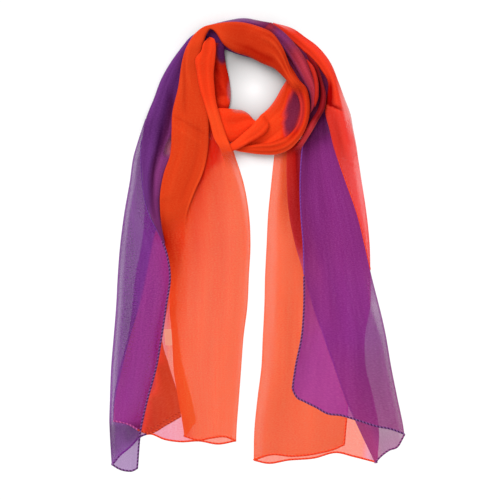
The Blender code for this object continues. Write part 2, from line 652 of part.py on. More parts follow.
def build_scarf():
    """Lay every stretch in order, then make the objects."""
    pile = Pile()
    solids = {}
    solids["back_strand"] = strand(pile, BACK_STRAND, rows=20, pleats=3)
    solids["right_tail_wrap"] = lay_right_tail(pile)
    solids["outer_band"] = strand(pile, OUTER_BAND, rows=18)
    solids.update(lay_left_tail(pile))
    solids["left_gather"] = strand(pile, LEFT_GATHER, rows=14, pleats=3)
    solids["inner_left_wall"] = strand(pile, INNER_LEFT_WALL, rows=13)
    solids["maroon_strand"] = strand(pile, MAROON_STRAND, rows=14)
    solids["outer_maroon_strand"] = strand(pile, OUTER_MAROON_STRAND, rows=15, pleats=1,
                                           crown_columns=5)
    solids["thin_red_strand"] = strand(pile, THIN_RED_STRAND, rows=8, pleats=1, crown_columns=4)
    solids["loop_inner"] = strand(pile, LOOP_INNER, rows=14)
    solids["loop_outer"] = strand(pile, LOOP_OUTER, rows=20)
    solids["top_band"] = strand(pile, TOP_BAND, rows=30, pleats=3, crown_columns=8)
    solids["front_left_panel"] = strand(pile, FRONT_LEFT_PANEL, rows=8)
    solids["cross_strand"] = strand(pile, CROSS_STRAND, rows=10)
    solids["inner_left_strand"] = strand(pile, INNER_LEFT_STRAND, rows=16)

    colours = {
        "back_strand": PURPLE,
        "right_tail_wrap": CORAL,
        "outer_band": RED,
        "left_tail_wrap": CORAL,
        "left_tail_purple_ply": PURPLE,
        "left_tail_orange_ply": BURNT_ORANGE,
        "care_label": LABEL_WHITE,
        "left_gather": PURPLE,
        "inner_left_wall": RED,
        "maroon_strand": MAROON,
        "outer_maroon_strand": MAROON,
        "thin_red_strand": RED,
        "loop_inner": ORANGE,
        "loop_outer": ORANGE,
        "top_band": BURNT_ORANGE,
        "front_left_panel": ORANGE,
        "cross_strand": ORANGE,
        "inner_left_strand": ORANGE,
    }
    purple_widths = {
        "left_tail_wrap": LEFT_PURPLE_WIDTH,
        "right_tail_wrap": RIGHT_PURPLE_WIDTH,
    }
    for name, (points, triangles) in solids.items():
        materials = [cloth_material(name + "_cloth", colours[name])]
        second = None
        if name in purple_widths:
            materials.append(cloth_material(name + "_purple", PURPLE))
            second = purple_side(points, triangles, purple_widths[name])
        make_object(name, points, triangles, materials, second)


clear_scene()
build_scarf()
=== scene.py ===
"""Looks of the chiffon scarf: sheer cloth laid out flat with one turn round the neck opening.

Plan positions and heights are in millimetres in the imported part's own frame: +X right, +Y towards
the back of the neck, +Z up from the surface. Each stretch of cloth is a thin sheet laid on what is
already there, in the same order as the solids and on a finer grid.
"""
import math
from functools import partial

import bpy
import numpy as np
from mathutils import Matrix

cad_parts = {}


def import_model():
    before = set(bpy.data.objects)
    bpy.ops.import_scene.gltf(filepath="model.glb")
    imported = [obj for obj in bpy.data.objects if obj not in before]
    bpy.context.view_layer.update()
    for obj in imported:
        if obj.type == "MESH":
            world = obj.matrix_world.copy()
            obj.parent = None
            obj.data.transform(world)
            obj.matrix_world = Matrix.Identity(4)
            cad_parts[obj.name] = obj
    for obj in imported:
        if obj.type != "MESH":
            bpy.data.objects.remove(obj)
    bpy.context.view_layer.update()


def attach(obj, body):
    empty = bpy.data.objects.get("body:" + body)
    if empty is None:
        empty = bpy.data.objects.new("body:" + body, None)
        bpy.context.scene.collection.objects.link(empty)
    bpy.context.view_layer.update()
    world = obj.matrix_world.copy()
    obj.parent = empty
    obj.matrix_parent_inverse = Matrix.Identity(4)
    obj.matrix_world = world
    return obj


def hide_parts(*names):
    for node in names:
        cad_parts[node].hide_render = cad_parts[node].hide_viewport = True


MM = 0.001

# Finishes of the cloth
PURPLE = "purple_chiffon"
ORANGE = "orange_chiffon"
MAROON = "maroon_chiffon"

# Cloth and hems: sizes in mm, scales of noise per mm, depths of relief in metres, and how much
# creases paint shade in their troughs and highlight on their ridges
PLY_LIFT = 0.3
PLY_GAP = 0.95
HEM_RADIUS = 1.2
HEM_SIDES = 8
HEM_FLATNESS = 0.8
EDGE_RADIUS = 0.8
THREAD_RADIUS = 0.7
STITCH_RADIUS = 0.6
STITCH_PITCH = 4.6
STITCH_LIFT = 0.4
STITCH_DEPTH = 0.0004
LABEL_LIFT = 0.35
ROUNDNESS = 3.2
STREAK_SCALE = (0.26, 0.012)
SPECK_SCALE = (0.4, 0.7)
WEAVE_SCALE = (1.1, 1.3)
WEAVE_DEPTH = 0.0003
# Painted shade in crease troughs and painted highlight on crease ridges
PLY_CREASE_SHADE = 0.1
TROUGH_SHADE = 0.24
RIDGE_HIGHLIGHT = 0.16

# Mesh and height grid
LEFT_LENGTH = 420
RIGHT_LENGTH = 410
SHEET_STEP = 2.4
STRAND_STEP = 2.2
HEM_STEP = 1.3
CELL = 0.8
PILE_HALF = (215, 315)
QUAD_SAMPLES = 5
UNDER_COLUMNS = 9
LABEL_GRID = (9, 17)
REST_ROUNDS = 60
ARC_STEPS = 5


def data(text):
    """Rows of numbers, one for each line."""
    return [[float(word) for word in line.split()] for line in text.strip().splitlines()]


# Left end: a row for each section, with the x of every fold and hem at that y
LEFT_COLUMNS = ("y", "fold_left", "purple_hem", "purple_ply_left", "orange_ply_left",
                "inner_right", "coral_left", "turned_edge", "fold_right")
LEFT_ROWS = data("""
165 -144 -136 -135 -108 -66 -108 -101 -33
128 -156 -151 -148 -113 -66 -111 -104 -33
118 -159 -151 -148 -115 -67 -112 -105 -30
80 -165 -149 -147 -125 -77 -123 -116 -18
40 -172 -141 -146 -127 -88 -124 -117 -11
0 -177 -121 -150 -136 -96 -119 -112 -9
-40 -180 -113 -158 -144 -105 -112 -105 -11
-80 -182 -118 -162 -153 -115 -113 -107 -13
-120 -185 -124 -168 -165 -123.5 -110 -102 -18
-160 -188 -131 -178 -175 -113.5 -107.5 -96 -21
-200 -189.5 -142 -186 -184 -101.5 -102 -85 -24
-240 -190.6 -151 -187 -187 -98 -95 -78 -27
-294 -188 -156 -187 -187 -97 -92 -80 -28
""")

# Right end: the same, from the purple hem on top to the orange hem inside
RIGHT_COLUMNS = ("y", "purple_hem", "fold_a", "fold_b", "fold_c", "fold_d", "orange_hem")
RIGHT_ROWS = data("""
171 66 90 44 119 28 60
118 58 102 39 130 23 72
80 56 115 39 136 19 88
40 57 129 42 142 15 100
0 60 139 50 146 13 108
-40 61 148 62 147 11 112
-80 61 158 73 147 10 115
-120 58 167 87 140 8 117
-160 50 174 101 141 6 118
-200 45 182 115 151 1 118
-240 45 190 133 158 -3 115
-284 45 193 154 156 -4 111
""")

# Dye at the same folds and hems, from 0 orange to 1 purple
RIGHT_DYE = data("""
171 0.85 0.85 0.08 0.13 0 0
0 0.85 0.85 0.14 0.13 0 0
-60 0.9 0.88 0.5 0.32 0 0
-120 1 0.88 0.8 0.6 0 0
-200 1 0.8 0.8 0.66 0 0
-245 1 0.76 0.64 0.6 0 0
-284 1 0.76 0.58 0.58 0 0
""")

# Hems across the ends, as (x, y) from left to right
LEFT_FLAP_HEM = data("""
-188 -286
-180 -291
-170 -294
-162 -294
-156 -291
""")
LEFT_BOTTOM_HEM = data("""
-188 -286
-178 -274
-165 -263
-152 -250
-140 -246
-120 -253
-100 -256
-75 -255
-50 -259
-28 -255
""")
LEFT_CORAL_HEM = data("""
-94 -249
-76 -254
-58 -251
-40 -250
-28 -255
""")
LEFT_TURNED_HEM = ((-94, -249), (-79, -228))
LEFT_INNER_HEM = data("""
-187 -229
-166 -234
-152 -242
-140 -245
-118 -234
-99 -223
""")
LEFT_HIGH = data("""
-96 138
-80 142
-70 162
-58 164
-48 148
-33 138
""")
LEFT_HIGH_FLAP = ((-144, 163), (-136, 163))
LEFT_HIGH_BOTTOM = data("""
-144 163
-130 158
-110 145
-80 138
-33 136
""")
LEFT_HIGH_INNER = 136
LEFT_HIGH_PLIES = 110
LEFT_SOFT_HEM_END = 6
RIGHT_PURPLE_HEM = data("""
45 -184
50 -196
62 -204
78 -212
90 -219
110 -222
130 -228
155 -236
175 -240
191 -246
""")
RIGHT_CORNER_HEM = data("""
154 -283
160 -276
172 -267
184 -261
191 -248
""")
RIGHT_TIP_HEM = ((154, -283), (156, -283))
RIGHT_LOWER_HEM = data("""
-4 -280
14 -284
40 -280
75 -277
103 -270
125 -275
156 -283
""")
RIGHT_UPPER_HEM = data("""
-4 -280
18 -273
45 -275
80 -271
100 -266
111 -261
""")
RIGHT_HIGH_TOP = data("""
61 140
72 160
84 171
90 171
""")
RIGHT_HIGH_MIDDLE = data("""
39 124
62 142
90 171
""")
RIGHT_HIGH_THIRD = data("""
38 128
66 134
96 146
121 165
""")
RIGHT_HIGH_LOW = 126
RIGHT_HIGH_BOTTOM = data("""
22 126
60 133
96 146
121 165
""")
RIGHT_SOFT_HEM_END = -40

# Shares of the left hems before their thread changes, and ends of the right edge line
PURPLE_SHARE = 0.29
MAGENTA_SHARE = 0.42
EDGE_LINE = (-34, 150)

# Care label: y, left x and right x of its two ends
LABEL_ROWS = ((-110, -121, -110.8), (-131, -119, -108.8))

# Soft creases: where each starts, along and across, and where it ends, in percent of the ply,
# then its height and half width in mm
LEFT_FLAP_CREASES = data("""
0 30 55 45 0.9 5
2 62 35 70 -0.6 4
30 60 95 42 0.7 6
""")
LEFT_BOTTOM_CREASES = ((5, 20, 90, 16, 0.6, 6), (10, 70, 85, 72, 0.5, 9))
CORAL_CREASES = data("""
0 60 72 42 1.6 11
5 84 90 78 1.1 8
10 30 95 16 1.1 10
0 44 30 50 -0.8 5
35 62 98 66 0.6 5
0 72 22 70 0.9 4
""")
INNER_CREASES = ((0, 30, 60, 24, 0.8, 5), (5, 62, 90, 66, 0.6, 6))
PURPLE_FLAP_CREASES = data("""
0 34 80 26 1.3 11
3 66 95 58 1.6 13
5 86 98 84 0.9 8
0 20 30 12 -0.8 5
0 50 34 46 -0.9 6
0 80 26 74 -0.7 5
""")
ORANGE_PLY_CREASES = ((0, 16, 80, 24, 1.2, 8), (5, 55, 98, 62, 1, 10))
LOWER_PLY_CREASES = data("""
0 12 70 16 0.8 7
10 40 90 36 0.7 9
30 78 95 80 0.6 8
""")

# Strands of the neck turn: a row for each section, with x and y of its inner edge and of its
# outer edge, and the rise of its crown
BACK_STRAND = data("""
-72 262 -72 280 1
-58 261 -62 285 2.5
-45 255 -50 288.5 3.5
-30 249 -35 292 4.5
-10 243 -17 294.3 5
12 238 3 291 5
30 229 28 285 4.5
42 216 50 270 4
50 202 70 250 3.5
55 187 87 230 3
57 172 97 208 2
57 160 96 182 1
57 149 90 163 0.5
""")
OUTER_BAND = data("""
18 281 21 288 1
38 269 47 280 3
54 256 63 269 4
69 242 79 257 5
82 227 95 237 5.5
92 210 106 211 5
91 193 113 192 4
88 174 121 171 3
94 149 125 150 2
100 124 130 124 1
107 104 132.5 104 0.3
116 80 136 80 0
""")
LEFT_GATHER = data("""
-119 0 -121 1 0
-121 9 -125 9 0
-124 24 -132 24 0
-126 42 -140 42 0.3
-126 62 -146 62 0.5
-121 90 -149 90 1
-110 120 -150.5 120 1.5
-103 145 -148 146 2
-100 166 -143.5 166 3
-98 190 -134 190 3.5
-94 212 -125 214 4
-88 234 -112 237 4
-80 252 -99 255 3.5
-70 266 -86 270 2.5
-58 276 -66 282 1
""")
INNER_LEFT_WALL = data("""
-76 262 -41 261 1
-84 246 -42 249 1.5
-85 230 -40 233 2
-82 212 -36 214 2
-78 196 -34 197 2
-74 180 -35 184 1.5
-70 164 -40 168 1
-66 148 -40 152 0.5
-62 136 -38 140 0
""")
MAROON_STRAND = data("""
6 277 18 288 1.5
25 262 36 274 4
39 246 50 259 5
50 229 63 241 5
60 211 72 221 5
67 197 78 204 4
69 183 77 186 3
66 171 72 169 1
""")
OUTER_MAROON_STRAND = data("""
61 246 65 251 1
72 229 78 233 3
80 211 85 213 4
82 192 90 192 5
79 176 88 177 5
69 160 79 160 4
61 146 71 146 3
52 130 61 130 2
42 119 54 116 1
""")
THIN_RED_STRAND = data("""
62 238 66 242 1
69 226 74 229 3
73.5 212 79 213 4
74.5 195 80 195 4
72 179 78 178 1.5
""")
LOOP_INNER = data("""
38 213 50 206 0.5
30.5 201 56 195 2.5
24.5 190 60 183 3.5
17 179.5 61 169 4
10 172.5 57 155 4
4 167.5 48 143 4
-1 159 34 133 3.5
-6 147 18 127 3
-14 138 2 124 2
-24 131 -14 122 1
-34 127 -30 122 0.5
""")
LOOP_OUTER = data("""
26 229 36 242 1
35 221 43 233 3
39 213 48.5 224 4.5
46 205 56 212 5.5
51 196 64 203 6.5
55 185 68 188 7
56 172 68.5 172 7
53 158 65 155 7
46 147 57 139 6.5
35 138 43 124 6
21 133 26 117 5.5
5 131 3 117 4.5
-11 129 -13 119 3
-23 128 -25 121 2
-32 127 -34 123 1
""")
TOP_BAND = data("""
-94 10 -121 8 0
-91 40 -125 34 0
-82 66 -126 62 0
-70 94 -121 92 0.3
-64 121 -112 120 1
-62.5 142 -111 146 2
-63 172 -110 171 3
-66 204 -102.5 204 4.5
-72 236 -97 239 5.5
-69 259 -91 257 6
-65 273 -80 274 5
-60 279 -68 283 4
-54 275 -56 286 5
-44 260 -45 288 7
-30 250 -32 289 8
-12 244 -17 288 8.5
6 235 2 282.5 8.5
22 228 22 272 8
28 223 33 256 7
33 218 40 239 5.5
38 212.5 46 223 4
43 205 55 211 2.5
48 197 63 202 1.2
52 188 67 190 0.2
""")
FRONT_LEFT_PANEL = data("""
-42 140 -57 177 1
-34 133 -42 177 2
-24 134 -28 175.5 3
-14 142 -18 174 3
-7 150 -10 169.5 2
-1.5 158 -2.5 163 0.5
""")
CROSS_STRAND = data("""
11 170 16.5 161 0.5
5 166.5 15.5 153 2.5
-1 161.5 11 145 4
-8 153 2 138 4.5
-16 146 -9 132 4.5
-25 138 -20 126 3.5
-34 131 -29 122 2
-42 126 -39 119 1
""")
INNER_LEFT_STRAND = data("""
-57 271 -66 266 0.3
-54 263 -70 259 1
-53 255 -72 251 1.5
-54 241 -79.5 241 2
-56 222 -78 222 2.5
-55 204 -75 204 2.5
-53 186 -70 187 2.5
-49 170 -65 171 2.5
-44 154 -60.5 155 2
-39 139 -56 138 1.5
-33 124 -49 126 0.8
-27 106 -43 110 0.3
-22 88 -38 94 0
""")

# The plum fold that runs down the gather on the left, darkened there with painted shade
GATHER_FOLD_YS = (60, 90, 110, 130, 160, 180)
GATHER_FOLD_XS = (-138, -137.5, -133, -126, -118, -114)

# Strand creases: the same columns as above, along from the first row to the last
TOP_BAND_CREASES = data("""
40 40 58 92 0.6 2.6
36 62 60 99 -0.9 2.4
12 70 36 66 0.7 5
36 96 31 10 -0.7 2.6
33 98 28 20 0.6 2.4
10 30 34 26 -0.5 4
70 94 84 90 0.5 2
72 25 90 12 -0.6 4
81 42 100 30 1.5 2.2
82 58 100 46 -1.2 2
80 72 100 62 1.5 2
82 85 100 78 -1 1.8
""")
LEFT_GATHER_CREASES = data("""
10 30 55 20 1 2.6
12 55 60 45 -1.4 2.4
20 75 90 62 1.1 3
35 30 95 35 -0.8 3
45 85 95 88 0.8 2.4
""")
OUTER_BAND_CREASES = data("""
0 30 60 24 -1.2 2.2
10 60 62 52 1.1 2.6
66 36 100 40 -0.7 3
40 76 100 72 -0.3 2
57.2 0 60.4 74 -1.5 2.2
""")
LOOP_OUTER_CREASES = data("""
10 36 60 32 -1.3 1.8
20 60 90 66 1 2.2
50 44 100 40 -0.5 1.8
55 80 100 74 -0.5 1.6
62 22 100 26 0.8 1.5
""")
LOOP_INNER_CREASES = data("""
0 34 45 26 -1 2.2
35 30 100 40 1 3
45 62 100 66 -1.1 2.4
55 82 100 84 0.9 2
""")
MAROON_CREASES = ((0, 35, 90, 35, -1, 1.8), (5, 66, 95, 62, 1, 2.2))
SLIM_CREASES = ((5, 55, 95, 50, 0.7, 1.6),)
INNER_STRAND_CREASES = data("""
5 28 70 30 0.6 2.8
10 52 80 55 -0.5 2.2
15 78 72 80 0.5 2.2
""")
INNER_WALL_CREASES = data("""
5 80 55 86 0.8 2.4
30 60 62 98 1 3
10 66 50 70 -0.8 2.4
""")
PANEL_CREASES = data("""
10 30 90 40 0.9 3.5
20 62 95 66 -0.8 3
30 82 100 80 0.8 2.4
""")
CROSS_CREASES = ((5, 66, 80, 62, -0.6, 2), (10, 34, 95, 36, 0.6, 3.2))
BACK_CREASES = data("""
5 90 50 92 0.8 2.2
20 70 95 72 -1 3
30 50 95 55 1 3
""")

# Colours, linear, along the dye from the orange side to the purple side. Sheer is a single ply,
# gathered is many plies together. Light is the cloth lit in the open, and deep is the same cloth
# far
# down in a fold: painted shade, and also the deeper colour of stacked plies.
DYE_STOPS = (0, 0.05, 0.12, 0.3, 0.6, 0.85, 1)
SHEER_LIGHT = data("""
0.92 0.112 0.026
0.92 0.11 0.027
0.92 0.054 0.05
0.82 0.125 0.25
0.47 0.058 0.24
0.26 0.03 0.215
0.225 0.021 0.345
""")
SHEER_DEEP = data("""
0.42 0.008 0.001
0.68 0.003 0.001
0.26 0.004 0.005
0.2 0.004 0.01
0.12 0.006 0.04
0.075 0.006 0.048
0.05 0.006 0.068
""")
GATHERED_LIGHT = data("""
0.93 0.082 0.017
0.935 0.067 0.014
0.94 0.046 0.01
0.86 0.056 0.055
0.34 0.036 0.085
0.24 0.036 0.155
0.17 0.038 0.225
""")
GATHERED_DEEP = data("""
0.45 0.014 0.003
0.42 0.008 0.002
0.38 0.001 0.001
0.22 0.003 0.004
0.085 0.004 0.02
0.06 0.005 0.036
0.045 0.005 0.05
""")

# Rolled hems: colour of the cord and of its stitches
HEM_COLOURS = {
    "purple_rolled_hem": ((0.06, 0.006, 0.075), (0.25, 0.085, 0.3)),
    "lilac_edge": ((0.17, 0.03, 0.28), (0.22, 0.055, 0.35)),
    "magenta_rolled_hem": ((0.28, 0.03, 0.16), (0.6, 0.1, 0.36)),
    "plum_rolled_hem": ((0.12, 0.012, 0.1), (0.34, 0.085, 0.26)),
    "orange_rolled_hem": ((0.84, 0.036, 0.007), (0.95, 0.075, 0.015)),
    "burnt_rolled_hem": ((0.45, 0.02, 0.004), (0.72, 0.06, 0.012)),
}
LABEL_COLOUR = (0.84, 0.31, 0.21)

# How much a ply covers along its dye, and where it is many plies thick
COVER_BY_DYE = (0.775, 0.775, 0.76, 0.74, 0.78, 0.76, 0.725)
DENSE_COVER = 0.97

# Charts: where their values stand across the ply, then rows of y and those values in percent.
# A chart with fewer values stays at its last one. Tone charts go towards the deep colour: painted
# shade in folds and under the plies and strands above, and the deeper colour of stacked plies.
FLAP_PLACES = (0, 0.25, 0.6, 1)
FLAP_TONE = data("""
150 30 40 50 60
60 28 36 45 52
0 34 48 34 38
-100 22 64 34 46
-200 18 30 30 52
-228 30 26 32 54
-237 80 72 84 92
-252 74 56 78 56
-264 64 56 26 5
-276 50 12 5 5
-288 5 0 0 5
""")
FLAP_DENSE = data("""
-226 0 0 0 0
-237 42 36 48 56
-252 36 26 44 30
-264 30 25 0 0
-276 20 0 0 0
-288 0 0 0 0
""")
BOTTOM_PLACES = (0, 0.18, 0.27, 0.34, 0.44, 0.57, 0.68, 1)
BOTTOM_DYE = data("""
150 100 95 70 30 5 0 0 0
-150 100 95 75 30 2 0 0 0
-200 100 100 80 40 20 8 0 0
-228 100 100 70 36 30 24 2 0
-255 100 100 62 34 32 28 4 0
""")
BOTTOM_TONE = data("""
150 50 50 30 10 10 0
-90 50 50 20 20 30 0
-150 50 50 20 20 30 0
-200 50 50 20 10 14 0
-228 40 40 10 0 2 0
-255 40 40 10 0 0 0
""")
BOTTOM_DENSE = data("""
150 0 0 20 60 80 0
-90 0 0 20 60 90 0
-105 0 0 20 40 60 0
-150 0 0 0 20 30 0
-180 0 0 0 20 60 0
-228 0 0 0 0 10 0
""")
CORAL_PLACES = (0, 0.1, 0.22, 0.34, 0.5, 0.8, 1)
CORAL_TONE = data("""
130 75 75 75 90 95 35 0
100 70 70 72 85 85 30 0
60 60 58 58 66 55 16 0
30 80 50 40 50 44 16 0
0 90 60 54 48 40 20 0
-40 60 45 36 30 26 14 0
-100 45 30 22 18 16 10 0
-200 40 30 12 7 4 2 2
-255 30 20 10 4 2 0 3
""")
CORAL_DENSE = data("""
130 95 95 95 100 100 70 0
90 95 95 95 100 95 45 0
50 90 80 85 85 60 10 0
0 90 80 65 50 25 0 0
-60 70 35 15 10 0 0 0
-255 60 45 5 0 0 0 0
""")
CORAL_DYE = data("""
60 5 5 5
34 0 1 5
-20 0 1 5
-70 5 5 5
""")
INNER_PLACES = (0, 0.4, 0.5, 0.6, 0.7, 0.8, 1)
INNER_ORANGE_DYE = data("""
20 0 0 0 0 0 0 0
0 34 20 5 0 0 0 0
-60 34 34 34 30 20 10 0
-120 34 34 34 34 34 20 0
-160 34 34 34 30 5 0 0
-200 34 34 5 0 0 0 0
-245 34 5 0 0 0 0 0
""")
INNER_ORANGE_TONE = data("""
-60 10 10 10 10 10 20 30
-120 10 10 10 10 10 50 60
-160 10 10 10 20 60 66 62
-200 10 10 54 66 62 60 60
-245 10 50 74 74 66 66 66
""")
INNER_ORANGE_DENSE = data("""
-60 0 0 0 0 0 0 20
-120 0 0 0 0 0 60 90
-160 0 0 0 20 80 90 90
-200 0 0 70 90 90 90 90
-245 0 70 90 90 90 90 90
""")
P_PLACES = (0, 0.15, 0.4, 0.7, 1)
P_TONE = data("""
165 85 90 95 100 100
148 75 85 95 100 85
138 70 90 100 80 50
128 70 95 75 36 36
118 66 80 48 22 26
104 54 52 32 16 24
60 40 32 18 13 20
0 44 36 24 15 18
-40 40 30 22 16 12
-80 40 28 20 16 12
-150 40 10 2 20 14
-200 26 0 0 26 20
-240 26 6 8 24 16
""")
P_DENSE = data("""
128 100 100 100 100 100
100 80 80 70 60 60
0 70 70 60 40 30
-40 40 40 30 20 10
-100 25 15 0 0 0
-160 30 15 0 0 0
-200 15 0 0 0 0
""")
T_PLACES = (0, 0.1, 0.2, 0.3, 0.4, 0.5, 0.7, 1)
T_TONE = data("""
120 0 14 42 60 60 60 60 60
60 0 8 46 60 60 60 60 60
0 0 3 8 14 42 50 50 50
-40 0 3 10 14 16 40 50 50
-100 0 2 14 22 16 8 5 5
-200 2 6 18 24 16 10 12 18
-260 8 12 18 16 12 12 16 26
""")
T_DENSE = data("""
120 0 20 70 80 80 80 80 80
60 0 10 70 80 80 80 80 80
0 0 0 10 20 50 60 60 60
-60 0 0 15 30 30 20 10 10
-200 0 5 30 35 25 15 15 20
-260 10 15 20 20 20 20 20 20
""")
BAND_PLACES = (0, 0.08, 0.2, 0.5, 0.86, 1)
CRIMSON_TONE = data("""
120 66 82 100 50 30 0
80 62 78 100 40 26 0
40 70 82 92 40 14 5
0 66 80 60 30 12 12
-40 45 30 20 20 20 20
-100 20 15 15 20 25 25
-180 30 30 28 36 40 40
-240 42 42 40 36 36 36
-262 40 40 30 10 6 6
-284 40 40 20 10 10 10
""")
CRIMSON_DENSE = data("""
120 100 100 100 70 75 0
40 100 100 100 60 90 20
0 90 90 70 30 90 90
-40 40 20 0 0 20 20
-100 0 0 0 0 0 0
-238 0 0 0 0 0 0
-256 20 20 20 20 20 20
""")

# Painted highlight, a pale band just inside a fold where cover drops: y, how much cover drops, and
# where it starts and ends in mm
LEFT_FOLD_GLOW = data("""
150 0.24 0.5 6
60 0.24 2 6
0 0.26 2.5 6
-220 0.26 1.5 5
-260 0.1 2 5
""")
CORAL_FOLD_GLOW = data("""
130 0.2 1 9
60 0.26 1 6
20 0.15 1 4
-255 0.13 1 4
""")
FOLD_D_GLOW = data("""
120 0.16 0.5 9
0 0.15 0.5 12
-120 0.1 0.5 15
-180 0.11 1 12
-284 0.1 1 10
""")
FOLD_C_GLOW = data("""
165 0.9 -6 60
134 0.34 -6 14
112 0.26 -2 7
60 0.24 0.5 6
0 0.2 0.5 4
-50 0 0.5 4
""")
FOLD_A_GLOW = data("""
0 0 1 5
-40 0.1 1 8
-80 0.3 0.5 11
-130 0.18 1 6
-245 0.14 1 5
""")

# Floor, sky and light
FLOOR_COLOUR = (1, 1, 1)
FLOOR_REACH = 6000
FLOOR_HEIGHT = -0.4
SKY_STRENGTH = 0.6
SUN_STRENGTH = 2
SUN_WIDTH = 40
SUN_TURNS = (-34, -30, 0)

# Painted shade on the surface within the neck opening, where the thick turn keeps the sky off:
# centre, and where it starts, is full and stops
OPENING_CENTRE = (-4, 202)
OPENING_SHADE_START = 4
OPENING_SHADE_END = 46
OPENING_SHADE = 0.5
OPENING_REACH = 74

# Camera: straight down, 500 pixels of the photo are 650 mm
PHOTO_SIDE = 650
PHOTO_CENTRE = (-9.1, -7.15)
CAMERA_HEIGHT = 4000
SENSOR = 36
CLIP_END = 20


def smooth(value):
    """0 below 0, 1 above 1, and a soft step between."""
    value = np.clip(value, 0, 1)
    return value * value * (3 - 2 * value)


def ramp(value, start, end):
    """Soft step from 0 at one value to 1 at another."""
    return smooth((value - start) / (end - start))


def blend(first, second, share):
    """From one value to another, as the share goes from 0 to 1."""
    return first * (1 - share) + second * share


def spline(knots, values, at):
    """Smooth curve through values at rising knots, straight beyond both ends."""
    knots, values, at = (np.asarray(item, dtype=float) for item in (knots, values, at))
    steps = np.diff(knots)
    slopes = np.diff(values) / steps
    middle = (slopes[:-1] * steps[1:] + slopes[1:] * steps[:-1]) / (steps[:-1] + steps[1:])
    tangents = np.concatenate([slopes[:1], middle, slopes[-1:]])
    index = np.clip(np.searchsorted(knots, at) - 1, 0, len(steps) - 1)
    step = steps[index]
    u = (at - knots[index]) / step
    inside = np.clip(u, 0, 1)
    u2 = inside * inside
    u3 = u2 * inside
    curve = ((2 * u3 - 3 * u2 + 1) * values[index]
             + (u3 - 2 * u2 + inside) * step * tangents[index]
             + (3 * u2 - 2 * u3) * values[index + 1] + (u3 - u2) * step * tangents[index + 1])
    return curve + (u - inside) * step * np.where(u < 0, tangents[0], tangents[-1])


def between(rows, place, y):
    """One value of a table's rows at any y, straight between the rows and level beyond them."""
    table = np.array(rows, dtype=float)[::-1]
    return np.interp(y, table[:, 0], table[:, place])


def edges(names, rows):
    """For each named column of a table, a smooth function of y."""
    table = np.array(rows, dtype=float)[::-1]
    return {name: partial(spline, table[:, 0], values) for name, values in zip(names, table.T)}


def chart(places, rows):
    """Share at any y and place across a ply, from rows of percents."""
    def value(y, place):
        units = np.eye(len(rows[0]) - 1)
        return sum(between(rows, k + 1, y) * np.interp(place, places[:len(units)], unit)
                   for k, unit in enumerate(units)) / 100
    return value


def across(edge, left, right, fractions):
    """Height in the plan of a ply's end, at each fraction of its width."""
    if isinstance(edge, int):
        return np.full_like(fractions, edge)
    places = [(x - left(y)) / (right(y) - left(y)) for x, y in edge]
    return spline(places, [y for x, y in edge], fractions)


def ply_plan(left, right, high, low, rows, columns):
    """Plan of one ply: rows run down the scarf, columns from its left edge to its right."""
    fractions = np.linspace(0, 1, columns + 1)
    top, bottom = (across(end, left, right, fractions) for end in (high, low))
    y = top + np.linspace(0, 1, rows + 1)[:, None] * (bottom - top)
    return np.dstack([blend(left(y), right(y), fractions), y])


def as_sheet(plan, *values):
    """A sheet on its plan: x, y, height, dye, painted shade and depth, and cover of each point."""
    return np.dstack([plan, *(np.broadcast_to(value, plan.shape[:2]) for value in values)])


def lengths(points):
    """Distance walked along a line of points, from 0."""
    return np.concatenate([[0], np.cumsum(np.linalg.norm(np.diff(points, axis=0), axis=-1))])


def corners(grid):
    """The four corners of each square of a grid, in turn round it."""
    return grid[:-1, :-1], grid[1:, :-1], grid[1:, 1:], grid[:-1, 1:]


def fill_quads(grid):
    """Points spread over each square of a grid of points."""
    step = np.linspace(0, 1, QUAD_SAMPLES)
    a = step[:, None, None]
    b = step[None, :, None]
    corner, down, far, right = (part[:, :, None, None] for part in corners(grid))
    return corner * (1 - a) * (1 - b) + right * (1 - a) * b + down * a * (1 - b) + far * a * b


class Pile:
    """Height of the cloth laid so far, on a square grid."""

    def __init__(self):
        self.half = np.array(PILE_HALF)
        self.height = np.zeros((2 * self.half / CELL).astype(int))

    def cells(self, points):
        """Grid cells of points on the plan."""
        cells = np.rint((points[..., :2] + self.half) / CELL).astype(int)
        return tuple(np.moveaxis(np.clip(cells, 0, np.array(self.height.shape) - 1), -1, 0))

    def rest(self, plan, rounds):
        """Height of a sheet laid here: clear of all below it, and taut between high places."""
        across_cells, along_cells = self.height.shape
        padded = np.pad(self.height, 1)
        spread = np.max([padded[a:a + across_cells, b:b + along_cells]
                         for a in range(3) for b in range(3)], axis=0)
        highest = spread[self.cells(fill_quads(plan))].max(axis=(2, 3))
        floor = np.max(corners(np.pad(highest, 1, mode="edge")), axis=0)
        floor = np.where(floor > 0, floor + PLY_GAP, PLY_LIFT)
        height = floor
        for _ in range(rounds):
            edge = np.pad(height, 1, mode="edge")
            mean = (edge[:-2, 1:-1] + edge[2:, 1:-1] + edge[1:-1, :-2] + edge[1:-1, 2:]) / 4
            height = np.maximum(floor, mean)
        return height

    def lay(self, grid):
        """Raise the height grid to a sheet given as a grid of points."""
        filled = fill_quads(grid)
        np.maximum.at(self.height, self.cells(filled), filled[..., 2])


def crease_height(creases, along, place, length, width):
    """Height of the soft ridges and troughs at shares along and across, for sizes in mm."""
    height = np.zeros(np.broadcast(along, place).shape)
    middle_width = np.mean(width)
    for row in creases:
        start, start_place, end, end_place = np.array(row[:4]) / 100
        amount, half_width = row[4:]
        turn = end_place - start_place
        run = (end - start) * length
        drift = turn * middle_width
        u = (along - start) * length
        v = (place - start_place) * middle_width
        inside = np.clip((u * run + v * drift) / (run * run + drift * drift), 0, 1)
        aside = (place - start_place - turn * inside) * width
        body = np.exp(-(aside ** 2 + (u - run * inside) ** 2) / half_width ** 2)
        height += amount * body * (0.35 + 0.65 * np.sqrt(4 * inside * (1 - inside)))
    return height


def add_object(name, content):
    """An object in the scene."""
    item = bpy.data.objects.new(name, content)
    bpy.context.scene.collection.objects.link(item)
    return item


